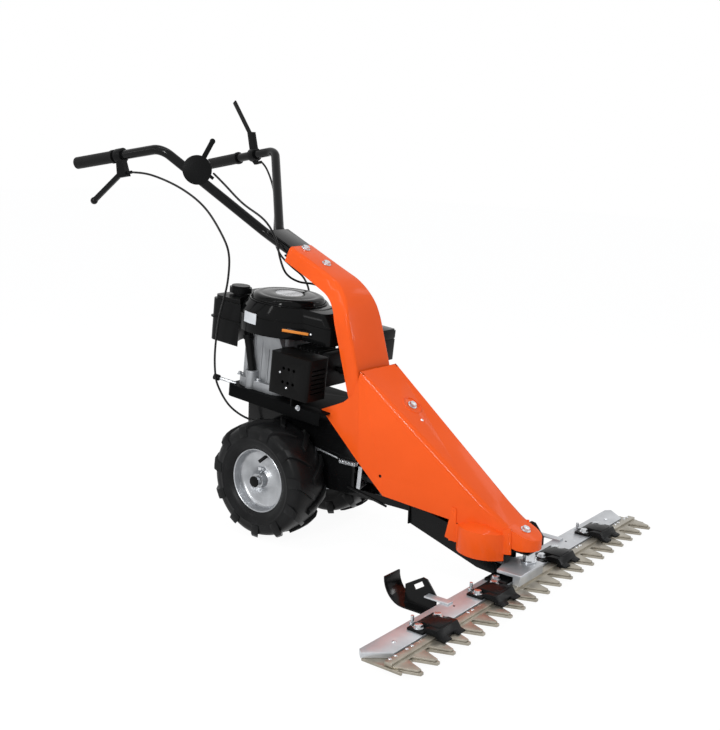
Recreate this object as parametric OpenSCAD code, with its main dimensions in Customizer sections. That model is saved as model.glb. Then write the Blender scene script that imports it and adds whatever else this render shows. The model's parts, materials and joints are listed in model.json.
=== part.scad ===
// Two-wheel sickle bar mower: a vertical-shaft engine on a narrow two-wheel frame,
// a long sheet cover over the knife drive, and a wide comb-and-knife cutter bar in front.
// Front is -Y, the machine's right side is -X, +Z is up. Lengths in millimetres.
// Places along the machine are measured from a datum line near the wheel axle;
// at the end everything moves so that the origin lies under the middle of the box.

/* [Wheels] */
// Outer diameter of the tyre over its lugs
tyre_d = 330; // [280:1:360]
// Width of the tyre
tyre_w = 127; // [100:1:140]
// Half track: middle of a tyre from the machine's middle
wheel_x = 140; // [132:1:170]
// Diameter of the rim over its flanges
rim_d = 178; // [150:1:190]
// Width of the rim
rim_w = 100; // [80:1:110]
// Sheet thickness of the rim
rim_sheet = 3; // [2:0.5:5]
// Depth of the rim's disc behind its outer flange
rim_dish = 34; // [20:1:50]
// Lugs along each side of the tread
lug_n = 11; // [8:1:16]
// Height of a tread lug
lug_h = 12; // [6:1:16]
// Thickness of a tread lug round the tyre
lug_t = 17; // [10:1:24]
// Diameter of the wheel axle
axle_d = 20; // [16:1:28]
// Diameter of the wheel hub
hub_d = 40; // [34:1:60]
// Axle's place along the machine
axle_y = -15; // [-40:1:0]

/* [Frame] */
// Half the clear width between the frame's side plates
frame_in = 58; // [50:1:60]
// Thickness of the frame's plates
plate_t = 4; // [3:0.5:6]
// Rear end of the frame
frame_rear_y = 140; // [120:1:170]
// Front end of the frame's tall part
frame_front_y = -250; // [-256:1:-235]
// Front end of the frame's low beam
beam_front_y = -430; // [-450:1:-410]
// Height of the beam's underside
beam_z = 146; // [130:1:155]
// Depth of the beam
beam_h = 20; // [14:1:21]

/* [Engine] */
// Forward tilt of the engine, its deck and its belts, in degrees
tilt = 5; // [3:0.5:6]
// Crankshaft's place along the machine at the deck
eng_y = 72; // [60:1:80]
// Height of the deck at the crankshaft
deck_z = 388; // [384:1:400]
// Width of the engine deck
deck_w = 236; // [220:1:250]
// Deck's reach behind the crankshaft
deck_rear = 104; // [98:1:115]
// Deck's reach ahead of the crankshaft
deck_front = 250; // [240:1:262]
// Thickness of the deck sheet
deck_t = 4; // [3:0.5:6]
// Depth of the deck's skirt
deck_skirt = 34; // [20:1:38]
// Width of the crankcase
case_w = 196; // [180:1:210]
// Height of the crankcase over its sump
case_h = 144; // [130:1:150]
// Height of the sump
sump_h = 26; // [20:1:32]
// Width of the finned cylinder
cyl_w = 92; // [80:1:100]
// Cooling fins on the cylinder
fin_n = 7; // [4:1:9]
// Radius of the blower housing round the crankshaft
shroud_r = 136; // [126:1:142]
// Height of the blower housing
shroud_h = 82; // [60:1:90]
// Blower housing's reach ahead of the crankshaft
shroud_nose = 212; // [200:1:216]
// Radius of the starter cover
recoil_r = 104; // [90:1:112]
// Height of the starter cover
recoil_h = 20; // [15:1:30]
// Width of the fuel tank
tank_w = 226; // [200:1:240]
// Height of the fuel tank
tank_h = 130; // [110:1:140]
// Fuel tank's reach behind the crankshaft
tank_rear = 192; // [185:1:205]
// Diameter of the fuel cap
cap_d = 62; // [50:1:70]
// Length of the silencer guard along the machine
guard_l = 138; // [120:1:145]
// Depth of the silencer guard across the machine
guard_w = 84; // [70:1:90]
// Height of the silencer guard
guard_h = 114; // [100:1:118]
// Louvres in the silencer guard's front
louvre_n = 6; // [3:1:8]

/* [Drive] */
// Depth of the wheel belt below the deck
belt1_z = 128; // [120:1:134]
// Depth of the knife belt below the deck
belt2_z = 165; // [158:1:168]
// Pitch radius of the engine pulley
pulley_r = 20; // [19:1:23]
// Pitch radius of the gearbox pulley
gear_r = 46; // [36:1:48]
// Pitch radius of the eccentric pulley
ecc_r = 46; // [40:1:47]
// Gearbox pulley's place ahead of the crankshaft
gear_y = 122; // [112:1:126]
// Eccentric's place ahead of the crankshaft
ecc_y = 729; // [722:1:734]
// Width of a belt at its back
belt_w = 13; // [9:1:15]
// Depth of a belt
belt_t = 9; // [6:1:10]
// Throw of the eccentric, half of the knife's stroke
throw = 25; // [18:1:26]

/* [Cover] */
// Sheet thickness of the cover and the neck
sheet = 2; // [1.5:0.5:3]
// Width of the cover at its rear
cover_w = 160; // [154:1:170]
// Width of the cover's nose
nose_w = 84; // [72:1:96]
// Place of the cover's top edge at its rear
cover_rear_y = -273; // [-285:1:-268]
// Height of the cover's top edge at its rear
cover_rear_z = 494; // [480:1:505]
// Place of the nose bolt
nose_y = -742; // [-750:1:-738]
// Place where the cover's top bends flatter
cover_bend_y = -715; // [-720:1:-700]
// Height where the cover's top bends flatter
cover_bend_z = 166; // [164:1:172]
// Height of the nose's end
nose_z = 138; // [134:1:142]
// Place of the cover's rearmost corner
tail_y = -145; // [-160:1:-130]
// Height of the cover's rearmost corner
tail_z = 371; // [365:1:385]
// Place of the cover's lower rear corner
foot_y = -355; // [-370:1:-340]
// Height of the cover's lower rear corner
foot_z = 172; // [160:1:180]
// Radius of the rounded guards over the eccentric
guard_r = 84; // [82:1:92]
// Height of the lower edge of the rounded guards
guard_z = 78; // [70:1:90]
// Height of the rounded guards' straight wall
guard_rim = 146; // [140:1:152]
// Height where the guards' sloping top meets the cover
guard_top = 170; // [164:1:176]

/* [Neck] */
// Width of the neck at its upper end
neck_w = 96; // [88:1:104]
// Width of the neck's lower part
neck_low_w = 152; // [146:1:152]
// Depth of the neck's side walls
neck_d = 45; // [35:1:52]
// Place of the neck's upper end
neck_top_y = 7; // [0:1:20]
// Height of the neck's upper end
neck_top_z = 795; // [785:1:805]
// Place of the neck's knee, before rounding
knee_y = -198; // [-204:1:-192]
// Height of the neck's knee, before rounding
knee_z = 700; // [693:1:707]
// Place of the neck's foot
neck_foot_y = -288; // [-291:1:-284]
// Height of the neck's foot
neck_foot_z = 384; // [380:1:396]
// Bend radius of the neck's front
neck_bend_r = 137; // [100:1:160]

/* [Handles] */
// Diameter of the handle tubes
tube_d = 26; // [22:1:28]
// Grip end from the machine's middle
hand_x = 268; // [250:1:290]
// Place of the grip ends
hand_y = 634; // [600:1:660]
// Height of the grip ends
hand_z = 993; // [960:1:1020]
// Upper bend from the machine's middle
apex_x = 232; // [220:1:245]
// Place of the upper bend
apex_y = 318; // [300:1:335]
// Height of the upper bend
apex_z = 1046; // [1030:1:1060]
// Lower bend from the machine's middle
low_x = 30; // [28:1:32]
// Place of the lower bend
low_y = 116; // [105:1:125]
// Bend radius of the handle tubes
tube_bend_r = 55; // [40:1:70]
// Length of a grip
grip_l = 150; // [120:1:158]
// Diameter of a grip
grip_d = 34; // [31:1:40]
// Length of the clutch lever
lever_l = 138; // [120:1:150]
// Length of the drive lever
upright_l = 130; // [110:1:150]
// Radius of the throttle housing
throttle_r = 40; // [34:1:44]

/* [Cutter bar] */
// Length of the bar's top plate
bar_l = 1224; // [1210:1:1260]
// Distance from tooth to tooth
pitch = 61; // [58:0.5:62]
// Place of the tooth tips
tip_y = -834; // [-840:1:-828]
// Place of the teeth's roots
root_y = -786; // [-790:1:-782]
// Place of the bar's rear edge
bar_rear_y = -685; // [-690:1:-680]
// Place of the top plate's front edge
bar_front_y = -752; // [-755:1:-748]
// Height of the comb's underside
comb_z = 22; // [16:1:30]
// Thickness of the comb
comb_t = 6; // [4:0.5:8]
// Thickness of the knife blades
knife_t = 4; // [3:0.5:5]
// Thickness of the bar's top plate
bar_t = 12; // [11:0.5:14]
// Inner pair of knife holders, from the machine's middle
hold_in_x = 158; // [154:1:170]
// Outer pair of knife holders, from the machine's middle
hold_out_x = 405; // [395:1:420]
// Width of a knife holder
hold_w = 104; // [90:1:106]
// Height of a knife holder over the top plate
hold_h = 16; // [14:1:20]
// Skids, from the machine's middle
skid_x = 265; // [255:1:280]
// Width of a skid's shoe
skid_w = 62; // [50:1:66]

/* [Hidden] */
$fn = 48;

// overrun for cuts, running gap of sliding faces, radial running fit of shafts
cut = 1;
gap = 0.4;
fit = 0.05;
// gap between a fixed ring and the tube in it
snug = 0.2;
// chamfer of a grip's end
grip_edge = 4;

// the datum moves so that the box is centred on the origin
rear_rim = (grip_d / 2 - grip_edge) * norm([hand_x - apex_x, hand_z - apex_z]) / norm([hand_x - apex_x,
    hand_y - apex_y, hand_z - apex_z]);
org_y = (hand_y + rear_rim + tip_y) / 2;
axle_z = tyre_d / 2;

// paint and finish colours
orange = "#f0571c";
black = "#17181a";
steel = "#b9bcbe";
alu = "#c3c5c4";
rubber = "#1d1d1e";

function unit(v) = v / norm(v);
function flip(p) = [-p[0], p[1], p[2]];
function arc(c, r, a0, a1, n) = [for (i = [0:n]) c + r * [cos(a0 + (a1 - a0) * i / n), sin(a0 + (a1 - a0) *
    i / n)]];

// rounded rectangle from corner a to corner b
function rounded(a, b, r, n = 5) = concat(
  arc([b[0] - r, b[1] - r], r, 0, 90, n), arc([a[0] + r, b[1] - r], r, 90, 180, n),
  arc([a[0] + r, a[1] + r], r, 180, 270, n), arc([b[0] - r, a[1] + r], r, 270, 360, n));

// a corner b between a and c, rounded with radius r, as points on an arc in space
function bend(a, b, c, r, n = 8) =
  let (u = unit(a - b), w = unit(c - b), half = acos(u * w) / 2, m = unit(u + w),
    o = b + m * r / sin(half), e = unit(b - o), s = unit(w - u), sweep = 90 - half)
  [for (i = [0:n]) let (t = sweep * (2 * i / n - 1)) o + r * (cos(t) * e + sin(t) * s)];

// smooth curve through hand-picked points, k steps between two points
function smooth(p, k) = let (m = len(p) - 1) concat([for (i = [0:m - 1], j = [0:k - 1])
  let (t = j / k, a = p[max(i - 1, 0)], b = p[i], c = p[i + 1], d = p[min(i + 2, m)])
  (2 * b + (c - a) * t + (2 * a - 5 * b + 4 * c - d) * t * t + (3 * b - a - 3 * c + d) * t * t * t) / 2],
  [p[m]]);

// round rod swept along a path, one closed skin of triangles; refs sets the rings' first spokes
module rod(path, r, n, refs = []) {
  m = len(path);
  dirs = [for (i = [0:m - 1]) unit(path[min(i + 1, m - 1)] - path[max(i - 1, 0)])];
  pts = [for (i = [0:m - 1]) let (ref = len(refs) > 0 ? refs[i] : [1, 0, 0],
    u = unit(cross(dirs[i], ref)), v = cross(dirs[i], u))
    for (k = [0:n - 1]) path[i] + r * (cos(360 * k / n) * u + sin(360 * k / n) * v)];
  sides = [for (i = [0:m - 2], k = [0:n - 1]) let (a = i * n + k, b = i * n + (k + 1) % n)
    each [[a, a + n, b + n], [a, b + n, b]]];
  caps = [for (k = [1:n - 2]) each [[0, k, k + 1],
    [(m - 1) * n, (m - 1) * n + k + 1, (m - 1) * n + k]]];
  polyhedron(pts, concat(sides, caps));
}

// a (y, z) outline drawn out along X
module along_x(x0, x1) translate([x0, 0, 0]) rotate([90, 0, 90]) linear_extrude(x1 - x0) children();
// an (x, z) outline drawn out along Y
module along_y(y0, y1) translate([0, y1, 0]) rotate([90, 0, 0]) linear_extrude(y1 - y0) children();
// a cylinder along X
module bar_x(x0, x1, d) translate([x0, 0, 0]) rotate([0, 90, 0]) cylinder(d = d, h = x1 - x0);
// both sides of the machine
module sides() {
  children();
  mirror([1, 0, 0]) children();
}
// turns the Z axis into the direction v
module aim(v) rotate([0, acos(v[2] / norm(v)), atan2(v[1], v[0])]) children();
// the engine's tilted frame: origin on the crankshaft at the deck's top
module engine_frame() translate([0, eng_y, deck_z]) rotate([tilt, 0, 0]) children();
function from_engine(p) = [p[0], eng_y + p[1] * cos(tilt) - p[2] * sin(tilt),
  deck_z + p[1] * sin(tilt) + p[2] * cos(tilt)];
// hexagon head or nut
module hex(af, h) cylinder(d = af / cos(30), h = h, $fn = 6);

// frame of two side plates, with a low beam ahead
frame_out = frame_in + plate_t;
// a place on the deck's underside
function deck_under(y) = deck_z - deck_t / cos(tilt) + (y - eng_y) * tan(tilt) - fit;
ear_rear_y = neck_foot_y + neck_d;
ear_front_y = neck_foot_y + neck_d * 2 / 5;
ear_top_z = neck_foot_z + neck_d;
ear_low_z = neck_foot_z - neck_d;
frame_axle_d = 2 * axle_d;
gear_case_d = 82;
post_d = 16;
cover_slope = (cover_rear_z - cover_bend_z) / (cover_rear_y - cover_bend_y);
function cover_top(y) = y > cover_bend_y ? cover_rear_z + (y - cover_rear_y) * cover_slope
  : cover_bend_z + (y - cover_bend_y) * (cover_bend_z - nose_z) / (cover_bend_y - nose_y + nose_w / 2);
post_back = 113;
post_y = cover_rear_y - post_back;

// what lies under the cover's top sheet
module under_cover() intersection() {
  children();
  down = sheet * sqrt(1 + cover_slope * cover_slope);
  along_x(-cover_w, cover_w) polygon([[cover_rear_y, 0], [cover_rear_y, cover_rear_z - down],
    [cover_bend_y, cover_bend_z - down], [nose_y - nose_w / 2, nose_z - down], [nose_y - nose_w / 2, 0]]);
}

module frame_side() {
  low = axle_z - gear_case_d / 2;
  polygon([[frame_rear_y, deck_under(frame_rear_y)],
    [ear_rear_y, deck_under(ear_rear_y)], [ear_rear_y, ear_top_z], [ear_front_y, ear_top_z],
    [ear_front_y, ear_low_z], [frame_front_y, ear_low_z - neck_d], [frame_front_y, beam_z + beam_h],
        [beam_front_y, beam_z + beam_h], [beam_front_y, beam_z],
    [axle_y - gear_case_d, beam_z], [axle_y - gear_case_d / 2, low], [axle_y + gear_case_d / 2, low],
    [axle_y + gear_case_d, axle_z + gear_case_d / 2], [frame_rear_y, axle_z + gear_case_d]]);
}

module chassis() {
  color(black) difference() {
    union() {
      sides() along_x(frame_in, frame_out) frame_side();
      // floor of the beam, with the post that carries the cover
      translate([-frame_in, beam_front_y, beam_z])
        cube([2 * frame_in, axle_y - gear_case_d - beam_front_y, plate_t]);
      under_cover() translate([0, post_y, beam_z]) cylinder(d = post_d, h = cover_rear_z);
      // stud of the idler arm
      intersection() {
        engine_frame() translate([idler_pivot[0], idler_pivot[1], -belt2_z - 2 * boss_d])
          cylinder(d = idler_pin_d, h = 2 * boss_d - groove / 2 - flange_h);
        translate([-frame_in, beam_front_y, beam_z]) cube([2 * frame_in, -beam_front_y, cover_rear_z]);
      }
      // shift rod along the beam's side
      translate([-frame_out - rod_d / 2 + cut / 2, shift_y0, shift_z0]) aim([0, shift_y1 - shift_y0,
          shift_z1 - shift_z0])
        cylinder(d = rod_d, h = norm([shift_y1 - shift_y0, shift_z1 - shift_z0]));
      // rear cross plate under the deck
      translate([-frame_in, frame_rear_y - plate_t, axle_z + gear_case_d])
        cube([2 * frame_in, plate_t, deck_under(frame_rear_y) - plate_t - axle_z - gear_case_d]);
      // spacers that carry the neck's foot
      sides() translate([0, (ear_front_y + ear_rear_y) / 2 - plate_t, ear_top_z - post_d])
        bar_x(frame_out - cut, neck_low_w / 2 - sheet, post_d);
    }
    translate([0, axle_y, axle_z]) bar_x(-frame_out - cut, frame_out + cut, frame_axle_d);
  }
}

// gearbox and wheels
input_d = 16;
boss_d = 36;

module gearbox() {
  color(black) difference() {
    union() {
      translate([0, axle_y, axle_z]) bar_x(-frame_in, frame_in, gear_case_d);
      // tower with the bearing of the tilted input shaft
      engine_frame() translate([0, -gear_y, -belt2_z - belt_w - boss_d]) cylinder(d = boss_d, h = boss_d);
      // cast ribs
      for (x = [-1:1]) translate([x * frame_in / 2 - plate_t / 2, axle_y - gear_case_d / 2 - plate_t,
          axle_z])
        cube([plate_t, gear_case_d + 2 * plate_t, plate_t]);
    }
    translate([0, axle_y, axle_z]) bar_x(-frame_in - cut, frame_in + cut, axle_d + 2 * fit);
    engine_frame() translate([0, -gear_y, -belt2_z - belt_w - boss_d / 2])
      cylinder(d = input_d + 2 * fit, h = boss_d);
  }
}

pin_d = 5;
hub_out = wheel_x + rim_w / 2;
axle_end = hub_out + axle_d / 2;
pin_x = hub_out - rim_dish / 2;

module axle() {
  color(steel) translate([0, axle_y, axle_z]) difference() {
    bar_x(-axle_end, axle_end, axle_d);
    sides() translate([pin_x, 0, -axle_d]) cylinder(d = pin_d + 2 * fit, h = 2 * axle_d);
  }
}

// half profile of a rim, radius against place across the wheel, the disc seen from outside
module rim_profile() {
  r = rim_d / 2;
  seat = r - 3 * rim_sheet - lug_h / 2;
  w = rim_w / 2;
  disc = w - rim_dish;
  polygon([[axle_d / 2 + fit, disc - hub_d / 2], [hub_d / 2, disc - hub_d / 2], [hub_d / 2, disc],
    [seat - rim_dish / 2, disc], [seat - rim_sheet, w - rim_dish / 2], [seat - rim_sheet, -w + 2 *
        rim_sheet],
    [seat, -w + rim_sheet], [r - rim_sheet, -w], [r, -w], [r, -w + rim_sheet],
    [r - rim_sheet, -w + rim_sheet], [seat + rim_sheet, -w + 3 * rim_sheet],
    [seat, -w / 2], [seat, w / 2], [seat + rim_sheet, w - 3 * rim_sheet],
    [r - rim_sheet, w - rim_sheet], [r, w - rim_sheet], [r, w], [r - rim_sheet, w],
    [seat - rim_sheet, w - 2 * rim_sheet], [seat - 2 * rim_sheet, w - rim_dish / 2],
    [seat - rim_dish / 2 - rim_sheet, disc + rim_sheet], [hub_d / 2, disc + rim_sheet],
    [hub_d / 2, w - rim_dish / 4], [axle_d / 2 + fit, w - rim_dish / 4]]);
}

module rims() {
  color(steel) sides() translate([wheel_x, axle_y, axle_z]) difference() {
    rotate([0, 90, 0]) rotate_extrude() rim_profile();
    translate([pin_x - wheel_x, 0, -hub_d]) cylinder(d = pin_d + 2 * fit, h = 2 * hub_d);
  }
}

// tread lugs slant from the shoulder towards the middle, the two sides staggered
lug_slant = 38;
carcass_r = tyre_d / 2 - lug_h;

module tyre_profile() {
  r = rim_d / 2;
  w = tyre_w / 2;
  bead = rim_w / 2 - 4 * rim_sheet;
  seat = r - lug_h / 2;
  half = [[seat, bead], [r + snug, bead], [r + snug, rim_w / 2], [r + lug_h, w - lug_h / 3],
    [r + 2 * lug_h, w], [carcass_r - 2 * lug_h, w - rim_sheet], [carcass_r - lug_h / 2, w - lug_h],
    [carcass_r, w / 2]];
  polygon(concat(half, [for (i = [len(half) - 1:-1:0]) [half[i][0], -half[i][1]]]));
}

module lug() {
  long = tyre_w / 2 / cos(lug_slant) - lug_t / 2;
  rotate([0, 0, lug_slant]) translate([0, -lug_t / 2, carcass_r - lug_h]) cube([long, lug_t, 3 * lug_h]);
}

module tyre() {
  rotate([0, 90, 0]) rotate_extrude() tyre_profile();
  intersection() {
    for (i = [0:lug_n - 1]) {
      rotate([i * 360 / lug_n, 0, 0]) lug();
      rotate([(i + 1 / 2) * 360 / lug_n, 0, 0]) mirror([1, 0, 0]) lug();
    }
    bar_x(-tyre_w / 2, tyre_w / 2, tyre_d);
  }
}

module tyres() {
  color(rubber) sides() translate([wheel_x, axle_y, axle_z]) tyre();
}

module hub_pins() {
  color(steel) sides() translate([pin_x, axle_y, axle_z]) {
    translate([0, 0, -hub_d / 2 - pin_d]) cylinder(d = pin_d, h = hub_d + 2 * pin_d);
    translate([0, 0, hub_d / 2 + 2 * pin_d]) rotate([90, 0, 0]) translate([0, 0, -pin_d])
      rotate_extrude() translate([pin_d, 0]) square([pin_d / 2, 2 * pin_d]);
  }
}

// engine, in its own tilted frame
crank_d = 25;
crank_room = 18;
case_front = 70;
case_rear = 88;
case_step = 17;
flare_h = 50;
case_top = sump_h + case_h;
corner_r = 22;

module deck() {
  color(black) engine_frame() difference() {
    translate([0, 0, -deck_skirt]) linear_extrude(deck_skirt)
      polygon(rounded([-deck_w / 2, -deck_front], [deck_w / 2, deck_rear], corner_r));
    // open underside and front, with the skirt left on the sides and the rear
    translate([0, 0, -deck_skirt - cut]) linear_extrude(deck_skirt - deck_t + cut)
      polygon(rounded([-deck_w / 2 + deck_t, -deck_front - corner_r], [deck_w / 2 - deck_t, deck_rear -
          deck_t],
        corner_r - deck_t));
    translate([0, 0, -deck_skirt]) cylinder(r = crank_d / 2 + crank_room / 2, h = deck_skirt + cut);
    // slots for the cover's walls
    sides() translate([cover_w / 2 - sheet - 2 * gap, -deck_front - cut, -deck_skirt])
      cube([sheet + 4 * gap, tail_y - eng_y + deck_front + corner_r / 2, deck_skirt + cut]);
  }
}

module crankcase() {
  color(alu) engine_frame() difference() {
    union() {
      linear_extrude(sump_h) polygon(rounded([-case_w / 2, -case_front - case_step / 2],
        [case_w / 2, case_rear + case_step / 2], 2 * corner_r));
      // boss of the oil filler
      translate([oil_x, oil_y, 0]) cylinder(d = oil_d * 3 / 2, h = oil_z);
      // flared guide for the cooling air, under the blower housing
      along_y(-case_front, 0) polygon([[-case_w / 2 + case_step, case_top - flare_h],
        [-case_w / 2 - fin_out, case_top], [-case_w / 2 + case_step, case_top]]);
      linear_extrude(case_top) polygon(rounded([-case_w / 2 + case_step, -case_front],
        [case_w / 2 - case_step, case_rear], corner_r));
      // stiffening ribs down the right and left walls
      for (i = [-2:2]) translate([0, case_rear / 8 + i * case_step * 3 / 2, sump_h])
        linear_extrude(case_h - case_step) square([case_w - case_step * 7 / 4, plate_t], center = true);
    }
    translate([0, 0, -cut]) cylinder(d = crank_d + 2 * fit, h = case_h / 2);
    // the oil filler's neck leaves room in the ribs
    translate([oil_x, oil_y, oil_z]) aim(oil_v) {
      cylinder(d = oil_d + 2 * gap, h = 2 * case_h);
      translate([0, 0, oil_l - fin_t]) cylinder(d = oil_d + 2 * fin_t, h = case_h);
    }
  }
}

cyl_len = 104;
cyl_mid = sump_h + case_h / 2;
fin_t = 4;
fin_out = 10;
head_l = 24;
cyl_front = case_front + cyl_len;

module cylinder_block() {
  translate([-cyl_w / 2 + fin_out, -cyl_front, cyl_mid - cyl_w / 2 + fin_out])
    cube([cyl_w - 2 * fin_out, cyl_len, cyl_w - 2 * fin_out]);
  for (i = [1:fin_n]) translate([-cyl_w / 2, -case_front - i * cyl_len / (fin_n + 1) - fin_t / 2, cyl_mid -
      cyl_w / 2])
    cube([cyl_w, fin_t, cyl_w]);
  translate([0, -cyl_front, 0]) along_y(-head_l, 0)
    polygon(rounded([-cyl_w / 2, cyl_mid - cyl_w / 2], [cyl_w / 2, cyl_mid + cyl_w / 2], fin_out));
}

plug_d = 14;
module cylinder_head() {
  color(alu) engine_frame() difference() {
    cylinder_block();
    translate([0, -cyl_front - head_l - cut, cyl_mid]) rotate([-90, 0, 0])
      cylinder(d = plug_d, h = head_l / 2 + cut);
  }
}

nose_half = 68;
roof_h = 36;
roof_share = 0.86;

module shroud_outline(in) {
  circle(r = shroud_r - in, $fn = 64);
  polygon(rounded([-nose_half + in, -shroud_nose + in], [nose_half - in, 0], corner_r));
}

module shroud() {
  color(black) engine_frame() translate([0, 0, case_top]) {
    linear_extrude(shroud_h - roof_h) shroud_outline(0);
    // a rim runs round the housing, then the roof draws in
    translate([0, 0, shroud_h - roof_h]) linear_extrude(roof_h / 6) shroud_outline(fin_t);
    translate([0, 0, shroud_h - roof_h * 5 / 6]) linear_extrude(roof_h * 5 / 6, scale = roof_share)
        shroud_outline(fin_t);
  }
}

recoil_z = case_top + shroud_h;
grille_n = 18;
disc_r = 36;

module recoil() {
  color(black) engine_frame() translate([0, 0, recoil_z]) difference() {
    rotate_extrude($fn = 64) polygon([[0, 0], [recoil_r, 0], [recoil_r, recoil_h / 3], [recoil_r -
        recoil_h / 4, recoil_h * 2 / 3], [recoil_r - recoil_h, recoil_h * 5 / 6],
      [disc_r + fin_t, recoil_h], [disc_r + fin_t, recoil_h - fin_t / 2], [0, recoil_h - fin_t / 2]]);
    for (i = [0:grille_n - 1]) rotate([0, 0, i * 360 / grille_n])
      translate([disc_r + 2 * fin_t, -fin_t / 2, recoil_h - 2 * fin_t]) cube([recoil_r / 3, fin_t, 3 *
          fin_t]);
  }
}

grip_bar_d = 18;
grip_bar_l = 76;
starter_z = case_top + shroud_h / 3;

module starter_grip() {
  color(black) engine_frame() translate([shroud_r + gap, 0, starter_z]) {
    translate([grip_bar_d * 3 / 4, 0, -grip_bar_l / 2]) cylinder(d = grip_bar_d, h = grip_bar_l);
    bar_x(0, grip_bar_d, grip_bar_d / 2);
  }
}

tank_z = recoil_z - tank_h - fin_out;
tank_front = 40;
cap_x = -40;
cap_y = 148;
filler_h = 6;
cap_h = 20;

module fuel_tank() {
  color(black) engine_frame() difference() {
    union() {
      translate([0, 0, tank_z]) linear_extrude(tank_h - fin_out) tank_outline(0);
      translate([0, 0, tank_z + tank_h - fin_out]) linear_extrude(fin_out) tank_outline(fin_out / 2);
      // welded seam round the tank
      translate([0, 0, tank_z + tank_h / 2]) linear_extrude(fin_t) tank_outline(-fin_t);
      translate([cap_x, cap_y, tank_z + tank_h]) cylinder(d = cap_d * 2 / 3, h = filler_h);
    }
    cylinder(r = shroud_r + snug, h = 2 * recoil_z, $fn = 64);
  }
}

module tank_outline(in) polygon(rounded([-tank_w / 2 + in, tank_front + in], [tank_w / 2 - in, tank_rear -
    in], corner_r));

module fuel_cap() {
  color(black) engine_frame() translate([cap_x, cap_y, tank_z + tank_h + filler_h + gap]) {
    cylinder(d = cap_d, h = cap_h * 3 / 4);
    cylinder(d = cap_d - fin_out, h = cap_h);
    for (i = [0:11]) rotate([0, 0, i * 30]) translate([cap_d / 2 - fin_t, -fin_t / 2, 0])
      cube([fin_t + fin_t / 4, fin_t, cap_h * 3 / 4]);
  }
}

// oil filler: a slanted tube on the sump, with the dipstick's cap in its mouth
oil_d = 23;
oil_x = -case_w / 2 + oil_d / 3;
oil_y = 34;
oil_z = 2 * sump_h;
oil_lean = 15.5;
oil_v = [0, sin(oil_lean), cos(oil_lean)];
oil_l = 88;
oil_bore = 14;

module oil_tube() {
  color(black) engine_frame() difference() {
    translate([oil_x, oil_y, oil_z]) aim(oil_v) translate([0, 0, -oil_d]) difference() {
      cylinder(d = oil_d, h = oil_l + oil_d);
      translate([0, 0, oil_d]) cylinder(d = oil_bore, h = oil_l + cut);
    }
    translate([oil_x, oil_y, oil_z]) aim(oil_v) translate([0, 0, -2 * oil_d])
      cylinder(d = 4 * oil_d, h = 2 * oil_d);
  }
}

module dipstick() {
  color(black) engine_frame() translate([oil_x, oil_y, oil_z]) aim(oil_v) translate([0, 0, oil_l + gap]) {
    cylinder(d = oil_d + fin_t, h = oil_d / 2);
    translate([-oil_d / 2, -fin_t / 2, 0]) cube([oil_d, fin_t, oil_d]);
    translate([0, 0, -oil_l / 2]) cylinder(d = oil_bore - 2 * fin_t / 2, h = oil_l / 2);
  }
}

// silencer guard: a pressed box with louvres ahead and outlet holes outside
guard_x = -case_w / 2 + 2 * corner_r + fin_out - guard_w - corner_r;
guard_y = -case_front - fin_out;
guard_low = 30;
guard_t = 2;
outlet_d = 9;

module silencer_guard() {
  color(black) engine_frame() {
    difference() {
      translate([guard_x, guard_y - guard_l, guard_low]) linear_extrude(guard_h)
        polygon(rounded([0, 0], [guard_w, guard_l], fin_out));
      translate([guard_x, guard_y - guard_l, guard_low + guard_t]) linear_extrude(guard_h - 2 * guard_t)
        polygon(rounded([guard_t, guard_t], [guard_w - guard_t, guard_l - guard_t], fin_out - guard_t));
      for (i = [0:louvre_n - 1])
        translate([guard_x + fin_out * 3 / 2, guard_y - guard_l - cut, guard_low + guard_h * (i + 3 / 2) /
            (louvre_n + 3)])
          cube([guard_w - 3 * fin_out, guard_t + 2 * cut, fin_t]);
      for (i = [0:2], j = [0:1])
        translate([guard_x, guard_y - guard_l / 2 + (i - 1) * 2 * outlet_d, guard_low + guard_h * (j + 1) /
            3])
          bar_x(-cut, guard_t + cut, outlet_d);
    }
    // outlet pipe from the cylinder head, and the bracket on the deck
    translate([0, -cyl_front - head_l / 2, cyl_mid]) bar_x(guard_x + guard_w, -cyl_w / 2, 2 * plug_d);
    translate([guard_x + guard_w / 2, guard_y - guard_l / 2, 0]) linear_extrude(guard_low)
      square([guard_w / 2, plate_t], center = true);
  }
}

filter_x = 82;
filter_w = 76;
filter_l = 148;
filter_h = 88;
filter_z = 122;

module air_filter() {
  color(black) engine_frame() translate([filter_x, -cyl_front - head_l - filter_l / 2, filter_z]) {
    linear_extrude(filter_h * 2 / 3) polygon(rounded([0, 0], [filter_w, filter_l], fin_out));
    // parting groove, then the lid
    translate([0, 0, filter_h * 2 / 3]) linear_extrude(fin_t)
      polygon(rounded([guard_t, guard_t], [filter_w - guard_t, filter_l - guard_t], fin_out - guard_t));
    translate([0, 0, filter_h * 2 / 3 + fin_t]) linear_extrude(filter_h / 3 - 2 * fin_t)
      polygon(rounded([0, 0], [filter_w, filter_l], fin_out));
    translate([0, 0, filter_h - fin_t]) linear_extrude(fin_t)
      polygon(rounded([fin_t, fin_t], [filter_w - fin_t, filter_l - fin_t], fin_out - fin_t));
  }
}

carb_d = 34;
bowl_d = 30;

module carburettor() {
  color(alu) engine_frame() translate([0, -cyl_front - head_l / 2, filter_z + carb_d / 2]) {
    bar_x(cyl_w / 2, filter_x, carb_d);
    translate([(cyl_w / 2 + filter_x) / 2, 0, -carb_d]) cylinder(d = bowl_d, h = carb_d);
  }
}

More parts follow.
